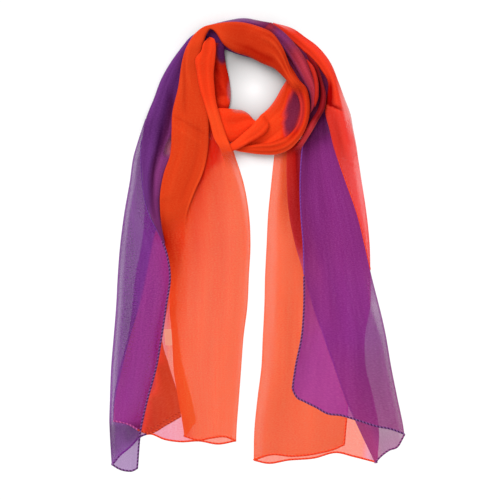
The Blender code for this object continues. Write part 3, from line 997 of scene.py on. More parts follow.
def new_object(name, points, faces, material, sheer=False, **looks):
    """Smooth mesh from points in mm. Sheer plies and their thin hems cast hardly any shadow."""
    mesh = bpy.data.meshes.new(name)
    mesh.from_pydata((points.reshape(-1, 3) * MM).tolist(), [], faces)
    mesh.shade_smooth()
    mesh.materials.append(material)
    for look, values in looks.items():
        kind, field = ("FLOAT_VECTOR", "vector") if look == "thread" else ("FLOAT", "value")
        values = np.asarray(values, dtype=np.float32).ravel()
        mesh.attributes.new(look, kind, "POINT").data.foreach_set(field, values)
    item = add_object(name, mesh)
    item.visible_shadow = not sheer
    item.visible_diffuse = not sheer
    return item


def quads(rows, columns, closed=False):
    """Faces between the points of a grid, which can be closed round to a tube."""
    index = np.arange(rows * columns).reshape(rows, columns)
    if closed:
        index = np.concatenate([index, index[:, :1]], axis=1)
    return np.stack(corners(index), axis=-1).reshape(-1, 4).tolist()


def threads(across_mm, along_mm):
    """Places in the cloth, across and along, in mm."""
    return np.stack(np.broadcast_arrays(across_mm, along_mm[:, None], 0), axis=-1)


class Look:
    """A material, with short ways to add nodes to it."""

    def __init__(self, name):
        self.material = bpy.data.materials.new(name)
        self.material.use_nodes = True
        self.tree = self.material.node_tree

    def put(self, node, inputs):
        """Values and links for the sockets of a node."""
        for name, value in inputs.items():
            if isinstance(value, bpy.types.NodeSocket):
                self.tree.links.new(value, node.inputs[name])
            else:
                node.inputs[name].default_value = value

    def add(self, kind, output, inputs, **settings):
        """The output of a new node."""
        node = self.tree.nodes.new("ShaderNode" + kind)
        for name, value in settings.items():
            setattr(node, name, value)
        self.put(node, inputs)
        return node.outputs[output]

    def attribute(self, name, output="Fac"):
        return self.add("Attribute", output, {}, attribute_name=name)

    def math(self, operation, *values, clamp=False):
        return self.add("Math", 0, dict(enumerate(values)), operation=operation, use_clamp=clamp)

    def mix(self, factor, first, second):
        """Mixed colour."""
        return self.add("Mix", "Result", {"Factor": factor, "A": first, "B": second},
                        data_type="RGBA")

    def dye_ramp(self, dye, colours):
        """Colour of the cloth along its dye."""
        colour = self.add("ValToRGB", "Color", {"Fac": dye})
        elements = colour.node.color_ramp.elements
        while len(elements) < len(DYE_STOPS):
            elements.new(0.5)
        for element, place, rgb in zip(elements, DYE_STOPS, colours):
            element.position = place
            element.color = (*rgb, 1)
        return colour

    def noise(self, thread, scale, detail):
        """Uneven noise in the cloth's own directions, scaled across and along per mm."""
        place = self.add("VectorMath", "Vector", {0: thread, 1: (*scale, 1)}, operation="MULTIPLY")
        return self.add("TexNoise", "Fac", {"Scale": 1, "Detail": detail, "Vector": place})

    def uneven(self, *noises):
        """Product of noises that each average 1 and vary by their own amount."""
        first, second = (self.math("MULTIPLY_ADD", noise, amount, 1 - amount / 2)
                         for noise, amount in noises)
        return self.math("MULTIPLY", first, second)

    def finish(self, inputs, height=None, strength=0, distance=0):
        """The material, with these inputs on its shader and relief from a height."""
        if height:
            relief = {"Strength": strength, "Distance": distance, "Height": height}
            inputs["Normal"] = self.add("Bump", "Normal", relief)
        self.put(self.tree.nodes["Principled BSDF"], inputs)
        return self.material


def chiffon_material(name, light, deep, grain, open_streak, open_speck, relief):
    """Dyed chiffon: colour by the dye, and by the painted shade and depth of each point, fine
    streaks and a crepe grain.
    """
    look = Look(name)
    thread = look.attribute("thread", "Vector")
    dye = look.attribute("dye")
    # Painted shade: each point's share mixes the cloth's light colour with its deep, shaded one
    plain = look.mix(look.attribute("tone"), look.dye_ramp(dye, light), look.dye_ramp(dye, deep))
    streak = look.noise(thread, STREAK_SCALE, 2)
    speck = look.noise(thread, SPECK_SCALE, 2)
    gamma = look.uneven((streak, 0.45 * grain), (speck, 1.3 * grain))
    tinted = look.add("Gamma", "Color", {"Color": plain, "Gamma": gamma})
    uneven_cover = look.uneven((streak, open_streak), (speck, open_speck))
    cover = look.math("MULTIPLY", look.attribute("cover"), uneven_cover, clamp=True)
    inputs = {"Base Color": tinted, "Alpha": cover, "Roughness": 0.6, "Specular IOR Level": 0.12,
              "Specular Tint": tinted, "Sheen Weight": 0.1, "Sheen Roughness": 0.4,
              "Sheen Tint": tinted}
    return look.finish(inputs, look.noise(thread, WEAVE_SCALE, 1), relief, WEAVE_DEPTH)


def hem_material(name, cord, stitches):
    """Rolled hem: darker doubled cloth with a line of overlock stitches in its own thread."""
    look = Look(name)
    split = look.add("SeparateXYZ", "X", {0: look.attribute("thread", "Vector")}).node.outputs
    turns = look.math("MULTIPLY_ADD", split["Y"], 2 * math.pi / STITCH_PITCH, split["X"])
    ripple = look.math("SINE", turns)
    stitch = look.math("MULTIPLY_ADD", ripple, 1.1, 0.2, clamp=True)
    colour = look.mix(stitch, (*cord, 1), (*stitches, 1))
    inputs = {"Base Color": colour, "Roughness": 0.6, "Specular IOR Level": 0.15}
    return look.finish(inputs, ripple, 0.5, STITCH_DEPTH)


def label_tape_material():
    """Pale woven tape, sheer enough to take the colour of the cloth below it."""
    look = Look("label_tape_look")
    thread = look.attribute("thread", "Vector")
    inputs = {"Base Color": (*LABEL_COLOUR, 1), "Roughness": 0.5, "Specular IOR Level": 0.2,
              "Alpha": 0.85}
    wave = look.add("TexWave", "Fac", {"Scale": 0.25, "Vector": thread})
    return look.finish(inputs, wave, 0.4, WEAVE_DEPTH)


def glow(rows, y, distance):
    """Share by which cover drops in the painted highlight, a pale band just inside a fold."""
    amount, start, end = (between(rows, k, y) for k in (1, 2, 3))
    starting = smooth((distance - start) / 1.5 + 0.5)
    return amount * starting * smooth((end - distance) / np.maximum(2.5, 0.8 * end) + 0.5)


def lay_ply(pile, edge, length, left, right, high, low, width, creases=(), dye=0, tone=0, dense=0,
            glow_left=None, glow_right=None):
    """One ply of an end, laid between two edges, with the length and width of its grid in mm."""
    plan = ply_plan(edge[left], edge[right], high, low, int(length / SHEET_STEP),
                    int(width / SHEET_STEP))
    rows, columns = plan.shape[:2]
    down = np.linspace(0, 1, rows)[:, None]
    place = np.linspace(0, 1, columns)[None, :]
    width = np.linalg.norm(plan[:, -1] - plan[:, 0], axis=-1)[:, None]
    y = plan[..., 1]
    crease = crease_height(creases, down, place, lengths(plan[:, columns // 2])[-1], width)
    crease = crease * np.sqrt(np.clip(np.sin(math.pi * place), 0, 1))
    height = pile.rest(plan, REST_ROUNDS) + crease - min(crease.min(), 0)
    dye, tone, dense = (look(y, place) if callable(look) else np.full(y.shape, float(look))
                        for look in (dye, tone, dense))
    cover = np.interp(dye, DYE_STOPS, COVER_BY_DYE)
    cover = cover + (DENSE_COVER - cover) * np.clip(dense, 0, 1)
    # Painted highlight: cover drops in a pale band just inside a fold, so the white surface shows
    # through
    for glow_rows, inside in ((glow_left, place), (glow_right, 1 - place)):
        if glow_rows:
            cover = cover * (1 - glow(glow_rows, y, inside * width))
    # Painted shade in crease troughs and painted highlight on ridges
    sheet = as_sheet(plan, height, dye, np.clip(tone - PLY_CREASE_SHADE * crease, 0, 1), cover)
    pile.lay(sheet)
    return sheet


def walk(plies, to_right):
    """One sheet that runs through plies, turning in a half round at each shared edge."""
    parts = []
    for ply in plies:
        ply = ply if to_right else ply[:, ::-1]
        to_right = not to_right
        parts += [fold(parts[-1], ply), ply] if parts else [ply]
    return np.concatenate(parts, axis=1)


def unit(vectors):
    """The same directions with length 1."""
    return vectors / np.maximum(np.linalg.norm(vectors, axis=-1, keepdims=True), 1e-9)


def fold(first, second):
    """Half-round turn from the last column of one ply to the first of the next."""
    start = first[:, -1]
    end = second[:, 0]
    away = unit(start[:, :2] - first[:, -2, :2])
    radius = np.abs(end[:, 2:3] - start[:, 2:3]) / 2
    middle = (start + end) / 2
    bend = []
    for angle in math.pi * np.arange(1, ARC_STEPS) / ARC_STEPS:
        point = middle + (start - middle) * np.cos(angle)
        point[:, :2] += away * (radius * np.sin(angle))
        point[:, 3:] = start[:, 3:]
        bend.append(point)
    return np.stack(bend, axis=1)


def tube(name, path, material, radius=HEM_RADIUS):
    """Rolled hem along a line of points, with its stitches counted along it."""
    walked = lengths(path)
    keep = np.concatenate([[True], np.diff(walked) > 1e-6])
    at = np.linspace(0, walked[-1], max(int(walked[-1] / HEM_STEP), 2) + 1)
    path = np.stack([np.interp(at, walked[keep], path[keep, k]) for k in range(3)], axis=-1)
    path[:, 2] = np.maximum(path[:, 2], HEM_FLATNESS * radius)
    tangent = unit(np.gradient(path, axis=0))
    side = unit(np.cross(tangent, (0, 0, 1)))
    lift = np.cross(side, tangent)
    angles = 2 * math.pi * np.arange(HEM_SIDES) / HEM_SIDES
    points = path[:, None] + radius * (np.cos(angles)[:, None] * side[:, None]
                                       + HEM_FLATNESS * np.sin(angles)[:, None] * lift[:, None])
    caps = [range(HEM_SIDES), range(len(path) * HEM_SIDES - 1, (len(path) - 1) * HEM_SIDES - 1, -1)]
    return new_object(name, points, quads(len(path), HEM_SIDES, True) + caps, material, True,
                      thread=threads(angles, lengths(path)))


def cloth_piece(name, node, sheet, material, hems=(), thread=None, sheer=True):
    """One piece of cloth with its hems, in place of its solid, which is hidden."""
    grid = sheet[..., :3]
    rows, columns = grid.shape[:2]
    if thread is None:
        thread = threads(lengths(grid[rows // 2]), lengths(grid[:, columns // 2]))
    piece = new_object(name, grid, quads(rows, columns), material, sheer,
                       dye=sheet[..., 3], tone=sheet[..., 4], cover=sheet[..., 5], thread=thread)
    trims = [tube(*hem) for hem in hems]
    sides = [np.mean([lengths(line)[-1] for line in lines])
             for lines in (grid[::8], grid.swapaxes(0, 1)[::4])]
    for item in (piece, *trims):
        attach(item, "root")
    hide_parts(node)


def end_ramps(walked, reach):
    """1 along a strand, going down to 0 over a distance at either end."""
    share = np.ones_like(walked)
    for distance, over in zip((walked, walked[-1] - walked), reach):
        if over:
            share = share * smooth(distance / over)
    return share


def strand_frame(table, taper):
    """Sections along a strand: inner edge, outer edge, rise, and the distance walked."""
    table = np.array(table, dtype=float)
    walked = lengths((table[:, :2] + table[:, 2:4]) / 2)
    at = np.linspace(0, walked[-1], max(int(walked[-1] / STRAND_STEP), 6) + 1)
    values = np.stack([spline(walked, column, at) for column in table.T], axis=-1)
    inner = values[:, :2]
    outer = values[:, 2:4]
    share = np.sqrt(end_ramps(at, taper))
    middle = (inner + outer) / 2
    narrow = blend(0.1, 1, share)[:, None]
    rise = np.maximum(values[:, 4], 0) * share
    return middle + (inner - middle) * narrow, middle + (outer - middle) * narrow, rise, at


def make_strand(pile, material, node, slot, below, table, looks, creases, fade=(0, 0),
                taper=(0, 0), columns=28, body=2.3, sheer=False):
    """A gathered stretch: one sheet over the strand's round form, tucked under at both edges."""
    inner, outer, rise, walked = strand_frame(table, taper)
    width = np.linalg.norm(outer - inner, axis=-1)[:, None]
    along = (walked / walked[-1])[:, None]

    def plan(shares):
        return inner[:, None] + (outer - inner)[:, None] * shares[:, None]

    turn = np.linspace(0, math.pi, columns + 1)
    side = -np.sign(np.cos(turn)) * np.abs(np.cos(turn)) ** (2 / ROUNDNESS)
    lift = np.abs(np.sin(turn)) ** (2 / ROUNDNESS)
    place = (1 + side) / 2
    shares = np.linspace(0, 1, UNDER_COLUMNS)
    under = pile.rest(plan(shares), REST_ROUNDS)
    ground = np.stack([np.interp(place, shares, row) for row in under])
    flat = plan(place)
    ends = end_ramps(walked, fade)[:, None]
    crease = crease_height(creases, along, place[None, :], walked[-1], width)
    crease = crease * np.sqrt(lift) * ends
    height = ground + (body * (0.12 + 0.88 * ends) + rise[:, None]) * lift + crease
    dye, tone, cover = looks(flat[..., 0], flat[..., 1], along, place[None, :])
    # Painted shade in crease troughs and painted highlight on ridges
    tone = np.clip(tone - np.where(crease < 0, TROUGH_SHADE, RIDGE_HIGHLIGHT) * crease, 0, 1)
    sheet = as_sheet(flat, height, dye, tone, cover * ends)
    pile.lay(sheet)
    cloth_piece(node + "_cloth", node, sheet, material, (),
                threads(width.max() * place, walked), sheer)


def right_dye(left, right, share):
    """Dye of a ply of the right end, from that of one fold to that of the other by a share."""
    def dye(y, place):
        first, last = (between(RIGHT_DYE, RIGHT_COLUMNS.index(name), y) for name in (left, right))
        return blend(first, last, share(y, place))
    return dye


def make_right_end(pile, cloth, hems):
    """One cloth in five plies: S at the bottom, T inside it, then R, Q and the purple flap P."""
    edge = edges(RIGHT_COLUMNS, RIGHT_ROWS)
    ply = partial(lay_ply, pile, edge, RIGHT_LENGTH)

    def past_fold_b(y, place):
        """The flap is bluer where it lies on the orange plies alone."""
        x = blend(edge["purple_hem"](y), edge["fold_a"](y), place)
        return ramp(x - edge["fold_b"](y), -3, 3)

    crimson = {"tone": chart(BAND_PLACES, CRIMSON_TONE), "dense": chart(BAND_PLACES, CRIMSON_DENSE)}
    ply_s = ply("fold_d", "fold_c", RIGHT_HIGH_BOTTOM, RIGHT_LOWER_HEM, 150, LOWER_PLY_CREASES,
                right_dye("fold_d", "fold_c", lambda y, place: ramp(place, 0.84, 1)),
                glow_left=FOLD_D_GLOW, glow_right=FOLD_C_GLOW)
    ply_t = ply("fold_d", "orange_hem", RIGHT_HIGH_LOW, RIGHT_UPPER_HEM, 112, ORANGE_PLY_CREASES,
                tone=chart(T_PLACES, T_TONE), dense=chart(T_PLACES, T_DENSE), glow_left=FOLD_D_GLOW)
    ply_r = ply("fold_b", "fold_c", RIGHT_HIGH_THIRD, RIGHT_TIP_HEM, 90, (),
                right_dye("fold_b", "fold_c", lambda y, place: smooth(place)),
                glow_right=FOLD_C_GLOW, **crimson)
    ply_q = ply("fold_b", "fold_a", RIGHT_HIGH_MIDDLE, RIGHT_CORNER_HEM, 90, (),
                right_dye("fold_b", "fold_a", lambda y, place: ramp(place, 0.16, 0.42)),
                glow_right=FOLD_A_GLOW, **crimson)
    ply_p = ply("purple_hem", "fold_a", RIGHT_HIGH_TOP, RIGHT_PURPLE_HEM, 130, PURPLE_FLAP_CREASES,
                right_dye("purple_hem", "fold_a", past_fold_b), chart(P_PLACES, P_TONE),
                chart(P_PLACES, P_DENSE), glow_right=FOLD_A_GLOW)
    sheet = walk((ply_p, ply_q, ply_r, ply_s, ply_t), to_right=True)
    grid = sheet[..., :3]
    bottom = grid[-1]
    flap_edge = grid[:, 0]
    flap_end = ply_p.shape[1]
    corner_end = flap_end + ply_q.shape[1] + ply_r.shape[1] + 2 * ARC_STEPS
    soft = flap_edge[:, 1] > RIGHT_SOFT_HEM_END
    # Orange rolled edge that peeks out beside the purple fold, from the ring to mid length
    beside = ply_p[:, -1, :3]
    low, high = EDGE_LINE
    beside = beside[(beside[:, 1] > low) & (beside[:, 1] < high)] + (1, 0, -STITCH_LIFT)
    trims = (
        ("right_end_soft_hem", flap_edge[soft], hems["lilac"], EDGE_RADIUS),
        ("right_end_purple_hem", np.concatenate([flap_edge[~soft], bottom[1:flap_end + 1]]),
         hems["purple"]),
        ("right_end_corner_hem", bottom[flap_end:corner_end], hems["plum"]),
        ("right_end_orange_hem", np.concatenate([bottom[corner_end - 1:], grid[-2::-1, -1]]),
         hems["orange"]),
        ("right_end_edge_line", beside, hems["orange"], EDGE_RADIUS),
        ("right_end_thread_tuft", np.stack([bottom[0], bottom[0] + (-2, -3.5, 0.2)]),
         hems["orange"], THREAD_RADIUS))
    cloth_piece("right_end_cloth", "right_tail_wrap", sheet, cloth,
                trims)


def coral_shade(edge, rows, depth):
    """A chart of the coral ply with the red shadow beside the edge of the band above it."""
    plain = chart(CORAL_PLACES, rows)
    band = np.array(TOP_BAND[:5])

    def tone(y, place):
        x = blend(edge["coral_left"](y), edge["fold_right"](y), place)
        beyond = x - np.interp(y, band[:, 1], band[:, 0])
        reach = 12 + 15 * ramp(y, 46, 104) - 5 * ramp(y, 104, 118)
        core = 1 + 0.48 * ramp(y, 92, 114)
        fullest = depth * ramp(y, 36, 90) + (1 - depth) * ramp(y, 98, 126)
        shadow = fullest * smooth(core - beyond / reach) * (beyond > -3)
        step = x - np.interp(y, (-60, 0, 36), (-101, -95, -91))
        overlap = 0.16 * ramp(step, 1.2, -1.2) * ramp(y, 48, 30) * ramp(y, -70, -10)
        return np.maximum(plain(y, place) + overlap, shadow)
    return tone


def make_left_end(pile, cloth, hems, label_material):
    """One cloth in four plies with two plies and the label between them."""
    edge = edges(LEFT_COLUMNS, LEFT_ROWS)
    ply = partial(lay_ply, pile, edge, LEFT_LENGTH)
    bottom = ply("fold_left", "fold_right", LEFT_HIGH_BOTTOM, LEFT_BOTTOM_HEM, 160,
                 LEFT_BOTTOM_CREASES, chart(BOTTOM_PLACES, BOTTOM_DYE),
                 chart(BOTTOM_PLACES, BOTTOM_TONE), chart(BOTTOM_PLACES, BOTTOM_DENSE),
                 LEFT_FOLD_GLOW, CORAL_FOLD_GLOW)
    make_label(pile, label_material)
    purple = ply("purple_ply_left", "inner_right", LEFT_HIGH_PLIES, LEFT_INNER_HEM, 78,
                 INNER_CREASES, 0.93, 0.5)
    orange = ply("orange_ply_left", "inner_right", LEFT_HIGH_PLIES, LEFT_INNER_HEM, 60,
                 INNER_CREASES, chart(INNER_PLACES, INNER_ORANGE_DYE),
                 chart(INNER_PLACES, INNER_ORANGE_TONE), chart(INNER_PLACES, INNER_ORANGE_DENSE))
    turned = ply("coral_left", "turned_edge", LEFT_HIGH_INNER, LEFT_TURNED_HEM, 14, tone=0.4,
                 dense=1)
    coral = ply("coral_left", "fold_right", LEFT_HIGH, LEFT_CORAL_HEM, 92, CORAL_CREASES,
                chart(CORAL_PLACES, CORAL_DYE), coral_shade(edge, CORAL_TONE, 0.95),
                coral_shade(edge, CORAL_DENSE, 1), glow_right=CORAL_FOLD_GLOW)
    flap = ply("fold_left", "purple_hem", LEFT_HIGH_FLAP, LEFT_FLAP_HEM, 52, LEFT_FLAP_CREASES,
               0.97, chart(FLAP_PLACES, FLAP_TONE), chart(FLAP_PLACES, FLAP_DENSE), LEFT_FOLD_GLOW)
    sheet = walk((flap, bottom, coral, turned), to_right=False)
    bottom_row = sheet[-1, :, :3]
    flap_edge = sheet[:, 0, :3]
    split = flap.shape[1] + ARC_STEPS + int(bottom.shape[1] * PURPLE_SHARE)
    soft = flap_edge[:, 1] > LEFT_SOFT_HEM_END
    trims = (
        ("left_end_soft_hem", flap_edge[soft] - (0, 0, STITCH_LIFT), hems["lilac"],
         THREAD_RADIUS),
        ("left_end_purple_hem", np.concatenate([flap_edge[~soft], bottom_row[1:split]]),
         hems["purple"]),
        ("left_end_orange_hem", bottom_row[split - 1:], hems["orange"]))
    cloth_piece("left_end_cloth", "left_tail_wrap", sheet, cloth,
                trims)
    cloth_piece("left_inner_purple_cloth", "left_tail_purple_ply",
                purple, cloth)
    scallop = orange[-1, :, :3] + (0, 0, HEM_RADIUS)
    stitched = orange[-4, :, :3] + (0, 0, STITCH_LIFT)
    meet = int(len(scallop) * MAGENTA_SHARE)
    trims = (
        ("left_inner_magenta_hem", scallop[:meet], hems["magenta"]),
        ("left_inner_orange_hem", scallop[meet - 1:], hems["burnt"]),
        ("left_inner_stitching", stitched[meet + 2:], hems["burnt"], STITCH_RADIUS))
    cloth_piece("left_inner_orange_cloth", "left_tail_orange_ply",
                orange, cloth, trims)


def make_label(pile, material):
    """Small bare label, a strip of woven tape on the bottom ply."""
    down = np.linspace(0, 1, LABEL_GRID[1])[:, None]
    y, left, right = (blend(high, low, down) for high, low in zip(*LABEL_ROWS))
    plan = np.dstack(np.broadcast_arrays(blend(left, right, np.linspace(0, 1, LABEL_GRID[0])), y))
    height = pile.rest(plan, 0) - PLY_GAP + LABEL_LIFT
    sheet = as_sheet(plan, height, 0, 0, 1)
    cloth_piece("bare_label", "care_label", sheet, material)


def edge_band(place, start, end):
    """1 between two shares of the width, soft at both sides."""
    return smooth((place - start) / 0.08 + 0.5) * smooth((end - place) / 0.08 + 0.5)


def oval(x, y, centre_x, centre_y, half_x, half_y, lean=0):
    """A soft oval on the plan, 1 in its middle."""
    dy = y - centre_y
    dx = x - centre_x - lean * dy
    return smooth(2 - 2 * np.sqrt((dx / half_x) ** 2 + (dy / half_y) ** 2))


# Looks of the strands: dye, painted shade and depth, and cover at x and y in the plan and at shares
# along and across
def back_looks(x, y, along, place):
    # Painted shade: darker towards the right, where it is seen in the gaps between the strands over
    # it. Lighter and thinner along the outer rim of its first part.
    rim = ramp(along, 0.42, 0.32)
    return (0.95 - 0.22 * ramp(x, -20, 20),
            0.55 - 0.45 * ramp(place, 0.84, 0.94) * rim + 0.25 * ramp(x, 60, 85),
            1 - 0.25 * ramp(place, 0.88, 0.96) * rim)


def outer_band_looks(x, y, along, place):
    # Painted shade: the dark well in its hollow, a line of shadow above its crease and darker cloth
    # below the crease. Darker also at its start; thinner towards its outer rim, where the cloth is
    # sheer.
    above = y - (182 - 0.4 * (x - 90))
    well_shade = 0.95 * ramp(place, 0.6, 0.14) * ramp(y, 224, 200) * ramp(above, -2, 2)
    crease = 0.8 * ramp(above, -2, 0.5) * ramp(above, 7, 1) * ramp(place, 0.76, 0.5)
    low = 0.36 * ramp(place, 0.74, 0.2) * ramp(above, 0, -5)
    pale = 0.17 * ramp(place, 0.7, 0.8) + 0.14 * ramp(place, 0.86, 0.98)
    return (0.14 + 0.07 * ramp(along, 0.5, 0.66) + 0.04 * ramp(place, 0.5, 0.8),
            np.clip(0.24 * ramp(along, 0.3, 0.12) + np.maximum(well_shade, crease) + low, 0, 1),
            1 - ramp(along, 0.42, 0.56) * pale
            - 0.16 * ramp(place, 0.45, 0.8) * ramp(along, 0.14, 0.04))


def gather_looks(x, y, along, place):
    # Painted sheen: lighter along the outer rim at the top. Painted shade: darker along the plum
    # fold. Also lighter at the lower left and just right of the fold, and thinner in an oval at its
    # inner edge.
    beside = x - np.interp(y, GATHER_FOLD_YS, GATHER_FOLD_XS)
    rim = ramp(place, 0.72, 0.92) * ramp(y, 140, 180)
    left = ramp(x, -126, -140) * ramp(y, 150, 120)
    plum = smooth(1.6 - np.abs(beside) / 4.5) * ramp(y, 212, 185) * ramp(y, 30, 90)
    bright = ramp(beside, 3, 8) * ramp(y, 146, 128) * ramp(y, 40, 92)
    return (1 - 0.11 * ramp(beside, -4, 4) * ramp(y, 205, 170),
            np.clip(0.48 - 0.22 * rim - 0.2 * left + 0.3 * plum - 0.44 * bright, 0, 1),
            1 - 0.85 * oval(x, y, -115, 124, 8, 22, 0.25) * ramp(y, 110, 120))


def inner_wall_looks(x, y, along, place):
    # Painted shade: the wall is dark red, standing in shade inside the opening. It is lighter,
    # thinner and pinker at its pale edge, lighter just below that, and purple at its top.
    light = oval(x, y, -34, 200, 6.5, 18)
    return (0.12 + 0.8 * oval(x, y, -45, 251, 10, 20) + 0.28 * oval(x, y, -34, 200, 6.5, 20),
            np.clip(0.74 - 0.7 * light - 0.45 * oval(x, y, -42, 187, 12, 8), 0, 1),
            1 - 0.36 * light)


def maroon_looks(x, y, along, place):
    # Painted highlight: a lighter stripe along the strand. Painted shade: darker at its inner edge
    # beside the band. Darker also at its start and towards the top.
    tone = (0.12 + 0.18 * ramp(y, 226, 246) - 0.12 * edge_band(place, 0.5, 0.72)
            + 0.08 * ramp(place, 0.16, 0.02) + 0.3 * ramp(along, 0.14, 0.05))
    return (0.5 + 0.34 * ramp(along, 0.42, 0.16) * ramp(along, 0.02, 0.14)
            + 0.2 * ramp(place, 0.3, 0.05), np.clip(tone, 0, 1), 1)


def loop_inner_looks(x, y, along, place):
    # In the oval a purple ply shows through the loop, with painted shade over it. Darker towards
    # the top, and thinner at its inner edge near the start.
    shadow = oval(x, y, 46.5, 172, 13, 42, 0.2)
    return (0.07 + 0.56 * shadow, 0.05 + 0.22 * ramp(y, 150, 200) + 0.42 * shadow,
            1 - 0.09 * ramp(place, 0.26, 0.14) * ramp(along, 0.44, 0.3))


def loop_outer_looks(x, y, along, place):
    # Painted highlight: lighter along the outer rim of its second half. Lighter and redder on its
    # inner side, and lighter towards its end.
    inside = 0.2 * ramp(place, 0.62, 0.3) * ramp(along, 0.6, 0.45)
    rim = 0.6 * ramp(place, 0.78, 0.95) * ramp(along, 0.45, 0.6)
    return (0.06 + inside * ramp(along, 0.1, 0.25),
            0.54 - 0.12 * ramp(along, 0.5, 0.65) - rim - inside * ramp(along, 0.2, 0.35), 1)


def top_band_looks(x, y, along, place):
    # Painted highlight: lighter on the ridges near its far end, along its right edge low down, and
    # at its low end where it lies on the coral ply. Darker towards its far end, in patches about
    # its middle and at its low left corner.
    beside = x - np.interp(y, (8, 34, 62), (-121, -125, -126))
    low_corner = 0.5 * smooth(1 - beside / 11) * ramp(y, 62, 24)
    belly = oval(x, y, 0, 246, 34, 18) + 0.9 * oval(x, y, 6, 268, 18, 13)
    rim = ramp(place, 0.78, 0.96) * ramp(along, 0.6, 0.5) * ramp(along, 0.15, 0.3)
    bright_ridges = edge_band(place, 0.3, 0.95) * ramp(along, 0.74, 0.8)
    low_end_light = 0.22 * ramp(y, 56, 30) + 0.3 * ramp(place, 0.1, 0.04) * ramp(y, 130, 90)
    tone = (0.45 + 0.28 * ramp(along, 0.64, 0.74) - low_end_light + 0.14 * belly - 0.02 * rim
            - 0.16 * bright_ridges + low_corner)
    return 0, np.clip(tone, 0, 1), 1


def panel_looks(x, y, along, place):
    pale = ramp(place, 0.84, 0.92) * ramp(along, 0.35, 0.5)
    return 0.11, 0.02 + 0.3 * ramp(place, 0.25, 0), 1 - 0.34 * pale


def inner_strand_looks(x, y, along, place):
    return 0.1 - 0.07 * ramp(along, 0.4, 0.6), \
        0.16 * ramp(place, 0.82, 0.95) * ramp(along, 0.75, 0.6), 1


def outer_maroon_looks(x, y, along, place):
    return 0.36, 0.96 - 0.66 * ramp(y, 166, 148), 1


# Strands in the order they are laid: solid, finish, what it lies on, sections, looks, creases
# and form
STRANDS = (
    ("back_strand", PURPLE, "", BACK_STRAND, back_looks, BACK_CREASES, {}),
    ("outer_band", ORANGE, "back_strand right_end",
     OUTER_BAND, outer_band_looks, OUTER_BAND_CREASES, {"fade": (0, 60), "sheer": True}),
    ("left_gather", PURPLE, "left_end back_strand",
     LEFT_GATHER, gather_looks, LEFT_GATHER_CREASES, {"fade": (3, 0), "taper": (0, 10)}),
    ("inner_left_wall", ORANGE, "left_end back_strand",
     INNER_LEFT_WALL, inner_wall_looks, INNER_WALL_CREASES, {"fade": (0, 20)}),
    ("maroon_strand", MAROON, "back_strand outer_band",
     MAROON_STRAND, maroon_looks, MAROON_CREASES, {"taper": (0, 14), "columns": 20}),
    ("outer_maroon_strand", MAROON, "right_end outer_band",
     OUTER_MAROON_STRAND, outer_maroon_looks, SLIM_CREASES,
     {"fade": (0, 20), "taper": (26, 0), "columns": 16}),
    ("thin_red_strand", ORANGE, "maroon_strand",
     THIN_RED_STRAND, lambda x, y, along, place: (0.2, 0.62, 1), SLIM_CREASES,
     {"taper": (18, 14), "columns": 14}),
    ("loop_inner", ORANGE, "right_end maroon_strand",
     LOOP_INNER, loop_inner_looks, LOOP_INNER_CREASES, {"taper": (0, 10)}),
    ("loop_outer", ORANGE, "loop_inner maroon_strand",
     LOOP_OUTER, loop_outer_looks, LOOP_OUTER_CREASES, {"taper": (0, 10)}),
    ("top_band", ORANGE, "back_strand left_gather left_end",
     TOP_BAND, top_band_looks, TOP_BAND_CREASES,
     {"fade": (48, 30), "columns": 40, "body": 1.1}),
    ("front_left_panel", ORANGE, "inner_left_wall left_end",
     FRONT_LEFT_PANEL, panel_looks, PANEL_CREASES, {"taper": (0, 8)}),
    ("cross_strand", ORANGE, "front_left_panel loop_inner",
     CROSS_STRAND, lambda x, y, along, place: (0.09, 0, 1), CROSS_CREASES,
     {"fade": (9, 0), "taper": (3, 8), "body": 1.6}),
    ("inner_left_strand", ORANGE, "inner_left_wall left_end",
     INNER_LEFT_STRAND, inner_strand_looks, INNER_STRAND_CREASES,
     {"fade": (0, 52), "taper": (5, 0), "body": 1.5}),
)


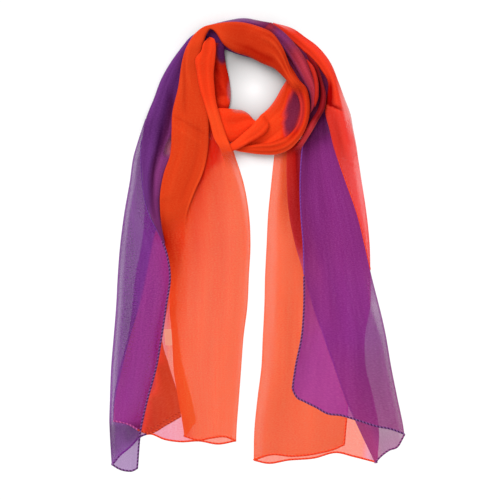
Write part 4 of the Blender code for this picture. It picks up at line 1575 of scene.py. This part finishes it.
def make_stage():
    """White surface with painted shade within the neck opening, a soft sky of one strength all
    round, and one broad light from the upper left.
    """
    look = Look("floor_look")
    centre = (OPENING_CENTRE[0] * MM, OPENING_CENTRE[1] * MM, 0)
    away = look.add("VectorMath", "Value", {0: look.add("TexCoord", "Object", {}), 1: centre},
                    operation="DISTANCE")
    # Painted shade: the surface darkens from the middle of the neck opening towards its rim
    shade = look.add("MapRange", "Result", {
        "Value": away, "From Min": OPENING_SHADE_START * MM, "From Max": OPENING_SHADE_END * MM,
        "To Min": 1, "To Max": OPENING_SHADE})
    outside = look.math("GREATER_THAN", away, OPENING_REACH * MM)
    shaded_floor = look.add("VectorMath", "Vector",
                    {0: FLOOR_COLOUR, "Scale": look.math("MAXIMUM", shade, outside)},
                    operation="SCALE")
    material = look.finish({"Base Color": shaded_floor, "Roughness": 0.9, "Specular IOR Level": 0})
    sides = ((-1, -1), (1, -1), (1, 1), (-1, 1))
    points = np.array([(x * FLOOR_REACH, y * FLOOR_REACH, FLOOR_HEIGHT) for x, y in sides])
    new_object("floor", points, [(0, 1, 2, 3)], material)

    world = bpy.data.worlds.new("soft_sky")
    world.use_nodes = True
    world.node_tree.nodes["Background"].inputs["Color"].default_value = (1, 1, 1, 1)
    world.node_tree.nodes["Background"].inputs["Strength"].default_value = SKY_STRENGTH
    bpy.context.scene.world = world

    sun = bpy.data.lights.new("broad_light", "SUN")
    sun.energy = SUN_STRENGTH
    sun.angle = math.radians(SUN_WIDTH)
    add_object("broad_light", sun).rotation_euler = [math.radians(turn) for turn in SUN_TURNS]


def make_camera():
    """Straight down, far away, with the photo's frame of 650 mm a side."""
    lens = bpy.data.cameras.new("camera")
    lens.sensor_width = SENSOR
    lens.lens = SENSOR * CAMERA_HEIGHT / PHOTO_SIDE
    lens.clip_end = CLIP_END
    camera = add_object("camera", lens)
    camera.location = (PHOTO_CENTRE[0] * MM, PHOTO_CENTRE[1] * MM, CAMERA_HEIGHT * MM)
    bpy.context.scene.camera = camera


def main():
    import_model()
    make_camera()
    make_stage()
    scene = bpy.context.scene
    scene.view_settings.view_transform = "Standard"
    scene.cycles.transparent_max_bounces = 32

    sheer = chiffon_material("sheer_chiffon", SHEER_LIGHT, SHEER_DEEP, 0.5, 0.06, 0.14, 0.08)
    gathered = chiffon_material("gathered_chiffon", GATHERED_LIGHT, GATHERED_DEEP, 0.34, 0.02,
                                0.03, 0.25)
    hems = {name.split("_")[0]: hem_material(name, *colours)
            for name, colours in HEM_COLOURS.items()}
    pile = Pile()

    lower, side, *upper = (partial(make_strand, pile, gathered, *form, **options)
                           for *form, options in STRANDS)
    lower()
    make_right_end(pile, sheer, hems)
    side()
    make_left_end(pile, sheer, hems, label_tape_material())
    for strand in upper:
        strand()


main()
